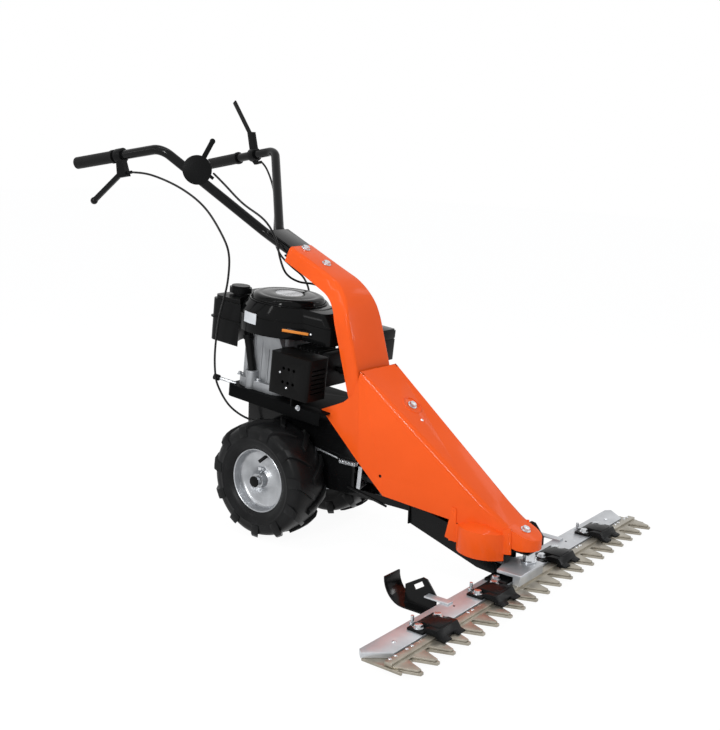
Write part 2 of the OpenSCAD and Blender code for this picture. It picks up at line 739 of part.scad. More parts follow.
module spark_plug() {
  color(black) engine_frame() translate([0, -cyl_front - head_l / 2, cyl_mid]) rotate([90, 0, 0]) {
    cylinder(d = plug_d, h = head_l);
    translate([0, 0, head_l]) cylinder(d = plug_d * 3 / 2, h = head_l);
    translate([0, 0, 2 * head_l - plug_d / 2]) rotate([0, 90, 0]) cylinder(d = plug_d, h = 2 * plug_d);
  }
}

// belts and pulleys
flange_h = 4;
flange_out = 4;
groove = belt_w + 2 * gap;
function groove_r(r) = r - belt_t / 2 - gap;

// one V-belt sheave, its middle at z = 0
module sheave(r) rotate_extrude() polygon([[0, -groove / 2 - flange_h], [r + flange_out, -groove / 2 -
    flange_h],
  [r + flange_out, -groove / 2], [groove_r(r), -groove / 2], [groove_r(r), groove / 2], [r + flange_out,
      groove / 2],
  [r + flange_out, groove / 2 + flange_h], [0, groove / 2 + flange_h]]);

// belt loop round sheaves of radius a at the crankshaft and b a distance l ahead of it
module belt_loop(a, b, l) difference() {
  belt_outline(a + belt_t / 2, b + belt_t / 2, l);
  belt_outline(a - belt_t / 2, b - belt_t / 2, l);
}
module belt_outline(a, b, l) {
  s = asin((b - a) / l);
  circle(r = a);
  translate([0, -l]) circle(r = b);
  polygon([[a * cos(s), a * sin(s)], [-a * cos(s), a * sin(s)], [-b * cos(s), b * sin(s) - l], [b * cos(s),
      b * sin(s) - l]]);
}

module crankshaft() {
  color(steel) engine_frame() translate([0, 0, -belt2_z - belt_w])
    cylinder(d = crank_d, h = belt2_z + belt_w + sump_h);
}

module crank_pulley() {
  color(steel) engine_frame() difference() {
    union() {
      translate([0, 0, -belt1_z]) sheave(pulley_r);
      translate([0, 0, -belt2_z]) sheave(pulley_r);
      translate([0, 0, -belt2_z]) cylinder(r = groove_r(pulley_r), h = belt2_z - belt1_z);
    }
    translate([0, 0, -belt2_z - 2 * belt_w]) cylinder(d = crank_d, h = belt2_z);
  }
}

module gear_pulley() {
  color(steel) engine_frame() translate([0, -gear_y, 0]) {
    translate([0, 0, -belt1_z]) sheave(gear_r);
    translate([0, 0, -belt2_z - belt_w - boss_d / 2]) cylinder(d = input_d, h = belt2_z + belt_w + boss_d /
        2 - belt1_z);
  }
}

module belt_wheel() {
  color(rubber) engine_frame() translate([0, 0, -belt1_z - belt_w / 2]) linear_extrude(belt_w)
      belt_loop(pulley_r, gear_r, gear_y);
}

module belt_knife() {
  color(rubber) engine_frame() translate([0, 0, -belt2_z - belt_w / 2]) linear_extrude(belt_w)
      belt_loop(pulley_r, ecc_r, ecc_y);
}

// eccentric: pulley with a balance disc, shaft, crank web and pin
ecc_d = 24;
ecc_top = belt2_z - groove / 2 - flange_h;
disc_z = belt2_z + groove / 2 + flange_h;
disc_h = 12;
hous_top = disc_z + disc_h + plate_t;
hous_h = 38;
web_z = hous_top + hous_h + plate_t;
web_h = 11;
crank_pin_d = 18;
crank_pin_h = 9;

module ecc_pulley() {
  color(steel) engine_frame() translate([0, -ecc_y, 0]) difference() {
    union() {
      translate([0, 0, -belt2_z]) sheave(ecc_r);
      // balance weight: a disc heavier on the side away from the pin
      translate([0, 0, -disc_z - disc_h]) cylinder(r = ecc_r - flange_out, h = disc_h + cut / 2);
      intersection() {
        translate([0, 0, -disc_z - disc_h]) cylinder(r = ecc_r + flange_out, h = disc_h);
        translate([-guard_r, -guard_r, -disc_z - disc_h]) cube([2 * guard_r, guard_r, disc_h]);
      }
    }
    translate([0, 0, -web_z]) cylinder(d = ecc_d, h = web_z);
  }
}

module ecc_shaft() {
  color(steel) engine_frame() translate([0, -ecc_y, 0]) {
    translate([0, 0, -web_z - cut / 2]) cylinder(d = ecc_d, h = web_z - ecc_top + cut / 2);
    translate([0, 0, -web_z - web_h]) cylinder(d = ecc_d + 2 * plate_t, h = web_h);
    translate([0, throw, -web_z - web_h]) cylinder(d = crank_pin_d + 2 * plate_t, h = web_h);
    translate([-crank_pin_d / 2, 0, -web_z - web_h]) cube([crank_pin_d, throw, web_h]);
    translate([0, throw, -web_z - web_h - crank_pin_h]) cylinder(d = crank_pin_d, h = crank_pin_h);
  }
}

hous_d = 72;
arm_l = 56;

module ecc_housing() {
  color(black) engine_frame() translate([0, -ecc_y, 0]) difference() {
    union() {
      translate([0, 0, -hous_top - hous_h]) cylinder(d = hous_d, h = hous_h);
      translate([-carrier_in, -arm_l / 2, -hous_top - hous_h * 2 / 3]) cube([2 * carrier_in, arm_l,
          hous_h / 3]);
    }
    translate([0, 0, -web_z]) cylinder(d = ecc_d + 2 * fit, h = web_z);
  }
}

// idler that tensions the knife belt when the clutch lever is squeezed
idler_r = 16;
idler_y = 420;
idler_x = -2;
idler_pivot_x = 14;
idler_pivot_y = 340;
idler_pivot = [idler_pivot_x, -idler_pivot_y];
idler_pin_d = 12;
idler_z = belt2_z + groove / 2 + flange_h + plate_t;
tab_x = 70;
tab_y = 362;
tab = [-tab_x, -tab_y];
tab_h = 62;
tab_w = 12;
spring_front = from_engine([tab[0], tab[1], 0]);

module idler_arm() {
  h = plate_t + plate_t / 4;
  color(steel) engine_frame() difference() {
    union() {
      translate([0, 0, -idler_z - h]) linear_extrude(h) {
        for (p = [idler_pivot, [idler_x, -idler_y]]) translate(p) circle(d = 2 * idler_pin_d);
        link(idler_pivot, [idler_x, -idler_y], idler_pin_d);
        link(idler_pivot, tab, idler_pin_d);
      }
      translate([idler_x, -idler_y, -idler_z]) cylinder(d = idler_pin_d, h = idler_z - belt2_z + groove /
          2 + flange_h);
      translate([tab[0] - h / 2, tab[1] - tab_w / 2, -idler_z - h]) cube([h, tab_w, tab_h]);
    }
    translate([idler_pivot[0], idler_pivot[1], -idler_z - 2 * h]) cylinder(d = idler_pin_d + 2 * fit, h =
        3 * h);
  }
}

// flat link of width w between two places
module link(a, b, w) translate(a) rotate([0, 0, atan2(b[1] - a[1], b[0] - a[0])]) translate([0, -w / 2])
    square([norm(b - a), w]);

module idler_pulley() {
  color(steel) engine_frame() translate([idler_x, -idler_y, -belt2_z]) difference() {
    rotate_extrude() polygon([[0, -groove / 2 - flange_h], [idler_r + flange_out, -groove / 2 - flange_h],
      [idler_r + flange_out, -groove / 2], [idler_r, -groove / 2], [idler_r, groove / 2],
      [idler_r + flange_out, groove / 2], [idler_r + flange_out, groove / 2 + flange_h], [0, groove / 2 +
          flange_h]]);
    translate([0, 0, -2 * belt_w]) cylinder(d = idler_pin_d + 2 * fit, h = 4 * belt_w);
  }
}

// tension spring beside the right side plate, and the rods that pull it
wire_d = 2.4;
coil_r = 6;
coil_n = 11;
coil_l = 56;
rod_d = 6;
rod_off = 8;
ball_r = rod_d * 2 / 3;
rod_x = -frame_out - rod_off;
spring_z = 236;
spring_z0 = deck_z - spring_z;
pull = 12;
spring_y0 = spring_front[1] + spring_z0 * sin(tilt) + tab_w / 2 + gap;
hook_l = 6;
stop_y = -8;
stop_t = 13;
stop_w = 12.5;
stop_h = 24;
stop_z = 258;

function coil_point(t) = [rod_x + coil_r * sin(360 * t), spring_y0 + hook_l + coil_l * t / coil_n,
    spring_z + coil_r * cos(360 * t)];
coil_path = [for (i = [0:coil_n * 8]) coil_point(i / 8)];
coil_gap = min([for (i = [0:len(coil_path) - 7]) min([for (j = [i + 6:min(i + 10, len(coil_path) - 1)])
  norm(coil_path[i] - coil_path[j])])]) - wire_d;
echo(coil_gap = coil_gap);

spring_path = concat([for (k = [2:-1:1]) coil_point(0) - [0, k * hook_l / 2, 0]], coil_path,
  [for (k = [1:2]) coil_point(coil_n) + [0, k * hook_l / 2, 0]]);

module spring() {
  color(steel) rod(spring_path, wire_d / 2, 6, [for (p = spring_path) [p[0] - rod_x, 0, p[2] - spring_z]]);
}

shift_z0 = 168;
shift_z1 = 142;
shift_y0 = -232;
shift_y1 = -362;

module spring_rod() {
  a = [rod_x, stop_y - stop_t - pull - ball_r, stop_z + stop_h / 2];
  b = coil_point(coil_n) + [0, hook_l + gap + rod_d / 4, 0];
  color(steel) {
    translate(b) aim(a - b) cylinder(d = rod_d, h = norm(a - b));
    translate(a) sphere(r = ball_r);
    // wire into the stop
    translate(a) rotate([-90, 0, 0]) cylinder(d = wire_d, h = pull + ball_r + gap);
  }
}

// cover: a long tapered sheet box, open below and behind
skirt_y = -560;
skirt_z = 152;
nose_low = 112;
flank_w = 108;
tail_shares = [[0.07, 0.24], [0.2, 0.55], [0.41, 0.73], [0.64, 0.84]];
ecc_mid = from_engine([0, -ecc_y, -belt2_z]);
emboss_r = 30;
emboss_h = 2;
hole_d = 9;
hole_y = -345;
hole_z = 224;

// outline from above, drawn in by the given amount
module cover_plan(in) {
  polygon([[cover_w / 2 - in, tail_y + (in > 0 ? cut : 0)], [-cover_w / 2 + in, tail_y + (in > 0 ? cut :
      0)],
    [-cover_w / 2 + in, cover_rear_y], [-flank_w / 2 + in, ecc_mid[1]], [-nose_w / 2 + in, nose_y],
    [nose_w / 2 - in, nose_y], [flank_w / 2 - in, ecc_mid[1]], [cover_w / 2 - in, cover_rear_y]]);
  translate([0, nose_y]) circle(r = nose_w / 2 - in);
}

module cover_side() polygon(concat([[tail_y, tail_z], [foot_y, foot_z], [skirt_y, skirt_z],
  [nose_y, nose_low], [nose_y - nose_w / 2, nose_low], [nose_y - nose_w / 2, nose_z],
  [cover_bend_y, cover_bend_z], [cover_rear_y, cover_rear_z]],
  [for (s = tail_shares) [cover_rear_y + s[0] * (tail_y - cover_rear_y), cover_rear_z - s[1] *
      (cover_rear_z - tail_z)]]));

module cover_cavity() {
  down = sheet * sqrt(1 + cover_slope * cover_slope);
  polygon([[-tail_y, 0], [-tail_y, 2 * cover_rear_z], [cover_rear_y, 2 * cover_rear_z],
    [cover_rear_y, cover_rear_z - down], [cover_bend_y, cover_bend_z - down],
    [nose_y - nose_w / 2, nose_z - down], [nose_y - nose_w, 0]]);
}

// the place on the cover's top at y, with Z square to the sheet
module on_cover(y) translate([0, y, cover_top(y)])
  rotate([atan(y > cover_bend_y ? cover_slope : (cover_bend_z - nose_z) / (cover_bend_y - nose_y + nose_w /
      2)), 0, 0])
    children();

module cover() {
  color(orange) difference() {
    union() {
      intersection() {
        along_x(-cover_w, cover_w) cover_side();
        linear_extrude(2 * cover_rear_z) cover_plan(0);
      }
      // pressed ring round the big bolt
      on_cover(post_y) translate([0, 0, -sheet / 2]) cylinder(r1 = emboss_r, r2 = emboss_r - emboss_h, h =
          emboss_h + sheet / 2);
    }
    intersection() {
      along_x(-cover_w, cover_w) cover_cavity();
      translate([0, 0, -cut]) linear_extrude(3 * cover_rear_z) cover_plan(sheet);
    }
    on_cover(post_y) cylinder(r = emboss_r - 2 * emboss_h, h = 2 * emboss_h);
    // room for the eccentric's balance disc under the rounded guards
    intersection() {
      translate([0, ecc_mid[1], 0]) cylinder(r = guard_r - sheet, h = guard_rim);
      along_x(-cover_w, cover_w) translate([0, -emboss_r / 2]) cover_cavity();
    }
    translate([0, hole_y, hole_z]) bar_x(-cover_w, 0, hole_d);
  }
}

// rounded guards spot-welded to both walls of the cover
tab_l = 18;
tab_low = 98;

// half section of a guard, drawn in by the given amount
module drum(in) polygon([[0, in > 0 ? -cut : 0], [guard_r - in, in > 0 ? -cut : 0], [guard_r - in,
    guard_rim - guard_z],
  [flank_w / 2 - tab_l - in, guard_top - guard_z], [0, guard_top - guard_z]]);

module ecc_guards() {
  color(orange) difference() {
    union() {
      translate([0, ecc_mid[1], guard_z]) rotate_extrude() drum(0);
      for (k = [-1, 1]) intersection() {
        half = sqrt(guard_r * guard_r - flank_w * flank_w / 4) * k;
        translate([-cover_w, ecc_mid[1] + half - tab_l, tab_low]) cube([2 * cover_w, 2 * tab_l, guard_rim -
            tab_low]);
        linear_extrude(guard_top) cover_plan(-sheet);
      }
    }
    translate([0, ecc_mid[1], guard_z]) rotate_extrude() drum(sheet);
    linear_extrude(2 * guard_top) cover_plan(0);
  }
}

bolt_af = 17;
bolt_h = 8;
neck_slope = (neck_top_z - knee_z) / (neck_top_y - knee_y);
neck_bolt_in = 15;
neck_bolt_step = 75;
neck_bolt_ys = [for (i = [0:1]) neck_top_y - neck_bolt_in - i * neck_bolt_step];

module flange_bolt() translate([0, 0, fit]) {
  cylinder(d = bolt_af * 3 / 2, h = bolt_h / 4);
  hex(bolt_af, bolt_h);
}

module panel_bolts() {
  color(steel) {
    on_cover(post_y) flange_bolt();
    on_cover(nose_y) flange_bolt();
    for (y = neck_bolt_ys) translate([0, y, neck_top_z + (y - neck_top_y) * neck_slope])
      rotate([atan(neck_slope), 0, 0]) flange_bolt();
  }
}

// neck: an arched channel, open towards the engine
neck_flare_z = 600;
flare_n = 10;
neck_top = [neck_top_y, neck_top_z];
neck_knee = [knee_y, knee_z];
neck_foot = [neck_foot_y, neck_foot_z];
neck_d1 = unit(neck_knee - neck_top);
neck_d2 = unit(neck_foot - neck_knee);
neck_n1 = [-neck_d1[1], neck_d1[0]];
neck_n2 = [-neck_d2[1], neck_d2[0]];
function neck_path(off, ext) = let (a = neck_top + neck_n1 * off - neck_d1 * ext, c = neck_foot + neck_n2 *
    off + neck_d2 * ext,
  b = neck_knee + (neck_n1 + neck_n2) * off / (1 + neck_n1 * neck_n2)) concat([a], bend(a, b, c,
      neck_bend_r - off, 18), [c]);
function back(p) = [for (i = [len(p) - 1:-1:0]) p[i]];

module neck_front(in) {
  a = neck_w / 2 - in;
  b = neck_low_w / 2 - in;
  z1 = (neck_top_z + knee_z) / 2;
  edge = [for (i = [0:flare_n]) [a + (b - a) * (1 - cos(180 * i / flare_n)) / 2, z1 + (neck_flare_z - z1) *
      i / flare_n]];
  polygon(concat([[a, 2 * neck_top_z]], edge, [[b, 0], [-b, 0]], [for (q = back(edge)) [-q[0], q[1]]],
      [[-a, 2 * neck_top_z]]));
}

module neck() {
  color(orange) difference() {
    intersection() {
      along_x(-neck_low_w, neck_low_w) polygon(concat(neck_path(0, 0), back(neck_path(neck_d, 0))));
      along_y(neck_foot_y * 2, -neck_foot_y) neck_front(0);
    }
    intersection() {
      along_x(-neck_low_w, neck_low_w) polygon(concat(neck_path(sheet, cut), back(neck_path(neck_d +
          neck_d, cut))));
      along_y(neck_foot_y * 2, -neck_foot_y) neck_front(sheet);
    }
  }
}

// handles: two bent tubes that run together under the neck's upper end
tube_r = tube_d / 2;
neck_cos = cos(atan(neck_slope));
neck_in_y = -70;
low_z = neck_top_z + (low_y - neck_top_y) * neck_slope - (sheet + plate_t + tube_r + snug) / neck_cos;
hand = [-hand_x, hand_y, hand_z];
apex = [-apex_x, apex_y, apex_z];
low = [-low_x, low_y, low_z];
inner = [-low_x, neck_in_y, low_z + (neck_in_y - low_y) * neck_slope];
grip_end = 5;
handle_path = concat([hand + unit(apex - hand) * grip_end], bend(hand, apex, low, tube_bend_r), bend(apex,
    low, inner, tube_bend_r), [inner]);
module grip_frame() translate(hand) aim(apex - hand) children();
module slope_frame() translate(apex) aim(low - apex) children();

module handle_r() { color(black) rod(handle_path, tube_r, 16); }
module handle_l() { color(black) mirror([1, 0, 0]) rod(handle_path, tube_r, 16); }

column_w = 84;
column_rear = 94;
column_front = -96;
module along_neck(y0, y1, down, t) along_x(-column_w / 2, column_w / 2) polygon([for (p = [[y0, 0], [y1,
    0], [y1, t], [y0, t]])
  [p[0], neck_top_z + (p[0] - neck_top_y) * neck_slope - (down + p[1]) / neck_cos]]);

module column() {
  color(black) {
    along_neck(column_rear, column_front, sheet, plate_t);
    along_neck(neck_top_y + tube_d, neck_in_y, sheet + plate_t + tube_d + 2 * snug, plate_t);
    intersection() {
      along_neck(neck_top_y + tube_d, neck_in_y, sheet + plate_t / 2, tube_d + plate_t);
      translate([-low_x + tube_r + snug, neck_in_y * 2, 0]) cube([2 * (low_x - tube_r - snug), -neck_in_y *
          4, 2 * neck_top_z]);
    }
  }
}

module grips() {
  r = grip_d / 2;
  color(rubber) sides() grip_frame() rotate_extrude() polygon([[0, 0], [r - grip_edge, 0], [r, grip_edge],
      [r, grip_l - 2 * fin_t],
    [r + fin_t / 2, grip_l - 2 * fin_t], [r + fin_t / 2, grip_l], [tube_r + snug, grip_l], [tube_r + snug,
        grip_end - snug], [0, grip_end - snug]]);
}

// clutch lever under the right grip
clutch_s = 172;
clamp_w = 24;
clamp_t = 7;
clutch_drop = 46;
clutch_back = 2;
clutch_pivot = [clutch_drop, clutch_s - clutch_back];
clutch_rest = 28.7;
lever_t = 8;
lever_w = 14;
cheek_t = 5;
pivot_d = 6;
ferrule_d = 9;
ferrule_l = 18;
clutch_end = clutch_pivot + lever_l * [sin(clutch_rest), -cos(clutch_rest)];

module clamp_ring(s) translate([0, 0, s - clamp_w / 2]) difference() {
  cylinder(r = tube_r + clamp_t, h = clamp_w);
  translate([0, 0, -cut]) cylinder(r = tube_r + snug, h = clamp_w + 2 * cut);
}

module clutch_mount() {
  y = lever_t / 2 + gap;
  color(black) grip_frame() {
    clamp_ring(clutch_s);
    difference() {
      along_y(-y - cheek_t, y + cheek_t) polygon([[tube_r + clamp_t / 2, clutch_s - clamp_w / 2],
          [clutch_pivot[0] + lever_w, clutch_pivot[1] - lever_w],
        [clutch_pivot[0] + lever_w, clutch_pivot[1] + lever_w * 3 / 2], [tube_r + clamp_t / 2, clutch_s +
            clamp_w / 2]]);
      along_y(-y, y) polygon([[clutch_pivot[0] - lever_w, 0], [2 * clutch_end[0], 0], [2 * clutch_end[0],
          clutch_pivot[1] + lever_w], [clutch_pivot[0] - lever_w, clutch_pivot[1] + lever_w]]);
    }
    translate([clutch_pivot[0], -y - cheek_t, clutch_pivot[1]]) rotate([-90, 0, 0]) cylinder(d = pivot_d,
        h = 2 * (y + cheek_t));
    translate([clutch_pivot[0] + plate_t, 0, clutch_pivot[1] + lever_w + cut])
      cylinder(d = ferrule_d, h = ferrule_l - plate_t + lever_w / 2 - cut);
  }
}

module clutch_lever() {
  color(black) grip_frame() difference() {
    union() {
      along_y(-lever_t / 2, lever_t / 2) {
        translate(clutch_pivot) circle(d = 3 * pivot_d);
        link(clutch_pivot, clutch_end, lever_w);
      }
      translate([clutch_end[0], 0, clutch_end[1]]) sphere(d = lever_w * 3 / 2);
    }
    translate([clutch_pivot[0], -lever_t, clutch_pivot[1]]) rotate([-90, 0, 0]) cylinder(d = pivot_d + 2 *
        fit, h = 2 * lever_t);
  }
}

// upright drive lever at the left grip
drive_s = 224;
drive_rise = 62;
drive_back = 8;
drive_pivot = [-drive_rise, drive_s - drive_back];
drive_rest = 60.6;
blade_t = 6;
blade_w = 15;
drive_end = drive_pivot + upright_l * [-sin(drive_rest), -cos(drive_rest)];
drive_lug = 26;

module drive_mount() {
  y = blade_t / 2 + gap;
  color(black) mirror([1, 0, 0]) grip_frame() {
    clamp_ring(drive_s);
    difference() {
      along_y(-y - plate_t, y + plate_t) polygon([[-tube_r - clamp_t / 2, drive_s - clamp_w / 2],
          [-tube_r - clamp_t / 2, drive_s + clamp_w / 2],
        [drive_pivot[0] - blade_w / 2, drive_pivot[1] + blade_w], [drive_pivot[0] - blade_w * 2 / 3,
            drive_pivot[1] - blade_w / 2]]);
      along_y(-y, y) translate(drive_pivot) circle(r = blade_w);
      along_y(-y, y) translate(drive_pivot) polygon([[0, 0], [-blade_w * 2, blade_w], [-blade_w * 2,
          -blade_w * 3], [blade_w, -blade_w * 3]]);
    }
    translate([drive_pivot[0], -y - plate_t, drive_pivot[1]]) rotate([-90, 0, 0]) cylinder(d = pivot_d, h =
        2 * (y + plate_t));
    // lug and ferrule of the cable, under the clamp
    along_y(-plate_t, plate_t) polygon([[tube_r + clamp_t / 2, drive_s - clamp_w / 2], [drive_lug +
        ferrule_d / 2, drive_s],
      [drive_lug + ferrule_d / 2, drive_s + clamp_w / 2], [tube_r + clamp_t / 2, drive_s + clamp_w / 2]]);
    translate([drive_lug, 0, drive_s + clamp_w / 2]) cylinder(d = ferrule_d, h = ferrule_l);
  }
}

module drive_lever() {
  color(black) mirror([1, 0, 0]) grip_frame() difference() {
    along_y(-blade_t / 2, blade_t / 2) {
      translate(drive_pivot) circle(d = 2 * pivot_d + plate_t);
      link(drive_pivot, drive_end, blade_w);
    }
    translate([drive_pivot[0], -blade_t, drive_pivot[1]]) rotate([-90, 0, 0]) cylinder(d = pivot_d + 2 *
        fit, h = 2 * blade_t);
  }
}

// throttle on the right tube
throttle_s = 110;
throttle_x = -16;
throttle_t = 28;
throttle_l = 88;
throttle_lean = 10;
throttle_pin = 8;
throttle_tip = [throttle_x, throttle_s] + throttle_l * [-cos(throttle_lean), -sin(throttle_lean)];

module throttle_box() {
  color(black) slope_frame() difference() {
    union() {
      translate([throttle_x, throttle_t / 2, throttle_s]) rotate([90, 0, 0]) {
        cylinder(r = throttle_r, h = throttle_t);
        translate([0, 0, -fin_t]) cylinder(r = throttle_r - fin_out, h = throttle_t + 2 * fin_t - fin_t);
      }
      translate([throttle_x, 0, throttle_s]) rotate([-90, 0, 0]) cylinder(d = throttle_pin, h =
          throttle_t / 2 + fin_t + gap + lever_t + gap);
      translate([throttle_x - ferrule_d, 0, throttle_s]) cylinder(d = ferrule_d, h = throttle_r +
          ferrule_l / 2);
    }
    cylinder(r = tube_r + snug, h = 2 * throttle_s);
  }
}

module throttle_lever() {
  y = throttle_t / 2 + fin_t + gap;
  color(black) slope_frame() difference() {
    union() {
      along_y(y, y + lever_t) {
        translate([throttle_x, throttle_s]) circle(d = 4 * throttle_pin);
        link([throttle_x, throttle_s], throttle_tip, lever_w);
        translate(throttle_tip) circle(d = lever_w * 9 / 8);
      }
    }
    translate([throttle_x, 0, throttle_s]) rotate([-90, 0, 0]) cylinder(d = throttle_pin + 2 * fit, h = 2 *
        throttle_t);
  }
}

// cables, each along points chosen by hand
cable_d = 6;
clutch_route = [[-244, 424, 977], [-238, 352, 973], [-226, 250, 943], [-214, 168, 895], [-198, 118, 824],
    [-190, 100, 772],
  [-182, 111, 703], [-172, 136, 645], [-162, 164, 584], [-152, 187, 496], [-144, 194, 430], [-134, 192,
      388],
  [-116, 168, 335], [-92, 132, 302], [-69, 84, 286], [-70, 40, 276], [-70, 4, 270], [-70, -7, 270]];
throttle_route = [[-130, 222, 984], [-120, 190, 956], [-106, 132, 906], [-80, 74, 864], [-60, 48, 812],
    [-52, 40, 762],
  [-36, 30, 718], [0, 14, 694], [52, -2, 684], [104, -22, 658], [138, -36, 606], [126, -38, 552],
  [98, -38, 518], [70, -62, 507], [62, -92, 508], [62, -108, 509]];
drive_route = [[239, 378, 1008], [228, 345, 985], [196, 290, 931], [122, 216, 864], [70, 170, 800], [52,
    130, 756],
  [70, 100, 722], [112, 92, 690], [150, 100, 640], [160, 108, 560], [152, 120, 470], [138, 140, 400],
  [116, 152, 340], [92, 132, 304], [69, 84, 286], [70, 40, 276], [70, 4, 270], [70, -7, 270]];

module cable(route) color(black) rod(smooth(route, 4), cable_d / 2, 8);
module cable_clutch() { cable(clutch_route); }
module cable_throttle() { cable(throttle_route); }
module cable_drive() { cable(drive_route); }

module cable_stop() {
  color(black) sides() difference() {
    translate([frame_out, stop_y - stop_t, stop_z]) cube([stop_w, stop_t, stop_h]);
    translate([-rod_x, stop_y - stop_t - cut, stop_z + stop_h / 2]) rotate([-90, 0, 0]) cylinder(d =
        wire_d + 2 * gap, h = stop_t + 2 * cut);
  }
}

// carrier: an open box under the cover that joins the frame to the cutter bar
comb_top = comb_z + comb_t;
bar_top = comb_top + bar_t;
carrier_t = 5;
carrier_in = 50;
carrier_out = carrier_in + plate_t;
carrier_rear_z = 111;
carrier_low_y = -640;
carrier_low_z = 45;
carrier_front_y = -692;
shelf_y = -675;
shelf_z = 104;
window_rear_y = -565;
window_front_y = -655;
flange_t = 7;
flange_half = hold_in_x - hold_w / 2 - plate_t;
flange_front_y = bar_front_y + plate_t;
shelf_half = 34;
shelf_front_y = nose_y - shelf_half + plate_t;
carrier_side = [[beam_front_y, carrier_rear_z], [carrier_low_y, carrier_low_z], [carrier_front_y, bar_top],
  [carrier_front_y, shelf_z], [shelf_y, shelf_z], [shelf_y, shelf_z + beam_h],
  [window_rear_y, beam_z - beam_h / 2], [beam_front_y, beam_z + beam_h]];

module carrier() {
  down = carrier_rear_z - carrier_low_z;
  color(black) {
    sides() along_x(carrier_in, carrier_out) polygon(carrier_side);
    // end plate against the frame's beam
    translate([-frame_out, beam_front_y - plate_t, carrier_rear_z])
      cube([2 * frame_out, plate_t, beam_z + beam_h - carrier_rear_z]);
    // sloped floor, open under the eccentric
    difference() {
      along_x(-carrier_in, carrier_in) polygon([[beam_front_y, carrier_rear_z], [carrier_low_y,
          carrier_low_z],
        [carrier_front_y, bar_top], [carrier_front_y, bar_top + carrier_t],
        [carrier_low_y, carrier_low_z + carrier_t], [beam_front_y, carrier_rear_z + carrier_t]]);
      translate([-frame_in - cut, window_front_y, 0])
        cube([2 * (frame_in + cut), window_rear_y - window_front_y, down + carrier_rear_z]);
    }
    // flange on the bar
    translate([-flange_half, flange_front_y, bar_top])
      cube([2 * flange_half, carrier_front_y - flange_front_y, flange_t]);
    // shelf with the boss that carries the cover's nose
    translate([-carrier_out, carrier_front_y, shelf_z]) cube([2 * carrier_out, shelf_y - carrier_front_y,
        plate_t]);
    translate([-shelf_half, shelf_front_y, shelf_z]) cube([2 * shelf_half, shelf_y - shelf_front_y,
        plate_t]);
    under_cover() translate([0, nose_y, shelf_z]) cylinder(d = post_d * 3 / 2, h = cover_rear_z);
  }
}

// cutter bar: top plate, comb below, knife between them
bar_half = bar_l / 2;
tooth_n = floor(bar_l / pitch);
bar_slant = 46;
bar_round = 14;
comb_rear_y = -700;
end_gap = 2;
comb_half = bar_half - end_gap;
tooth_share = 0.35;
tooth_half = pitch * tooth_share;
tip_half = 5;
root_cut = 6;
function tooth_x(i) = (i - (tooth_n - 1) / 2) * pitch;
// one pointed tooth at x, with the corners at its root cut back
function tooth(x, half, root, tip) = [[x - half - root_cut / 2, root], [x - half, root - root_cut],
  [x - tip_half, tip], [x + tip_half, tip], [x + half, root - root_cut], [x + half + root_cut / 2, root]];

module bar_plate() {
  color(steel) translate([0, 0, comb_top]) linear_extrude(bar_t) polygon([[bar_half - bar_slant,
      bar_front_y],
    [bar_half, bar_rear_y - bar_round], [bar_half - bar_round, bar_rear_y],
    [-bar_half + bar_round, bar_rear_y], [-bar_half, bar_rear_y - bar_round],
    [-bar_half + bar_slant, bar_front_y]]);
}

module comb() {
  fin = (root_y - tip_y) / 3;
  // short fins close both ends of the row of teeth
  color(steel) translate([0, 0, comb_z]) linear_extrude(comb_t) polygon(concat(
    [[comb_half, comb_rear_y], [-comb_half, comb_rear_y], [-comb_half, root_y - fin],
      [-comb_half + tip_half, root_y - fin]],
    [for (i = [0:tooth_n - 1]) each tooth(tooth_x(i), tooth_half, root_y, tip_y)],
    [[comb_half - tip_half, root_y - fin], [comb_half, root_y - fin]]));
}

knife_z = comb_top + gap;
knife_top = knife_z + knife_t;
knife_rear_y = bar_front_y - plate_t;
strip_w = 20;
strip_front_y = knife_rear_y - strip_w;
strip_top = bar_top - 2 * cut;
blade_root_y = root_y + plate_t;
blade_tip_y = tip_y + plate_t + plate_t / 2;
blade_half = tooth_half - cut;
knife_half = tooth_x(tooth_n - 1) + blade_half + root_cut;

module knife() {
  color(steel) {
    translate([0, 0, knife_z]) linear_extrude(knife_t) polygon(concat(
      [[knife_half, knife_rear_y], [-knife_half, knife_rear_y]],
      [for (i = [0:tooth_n - 1]) each tooth(tooth_x(i), blade_half, blade_root_y, blade_tip_y)]));
    // bar along the blades' backs
    translate([-knife_half, strip_front_y, knife_top - cut]) cube([2 * knife_half, knife_rear_y -
        strip_front_y,
      strip_top - knife_top + cut]);
  }
}

// knife holders: a wing bolted to the plate, and an arm over the knife's back with two fingers
hold_rear_y = -708;
hold_ridge_y = -732;
hold_tip_y = -802;
wing_h = hold_h * 3 / 8;
hold_top = bar_top + hold_h;
arm_half = hold_w * 2 / 5;
finger_w = 28;
hold_xs = [-hold_out_x, -hold_in_x, hold_in_x, hold_out_x];
bolt_off = 38;

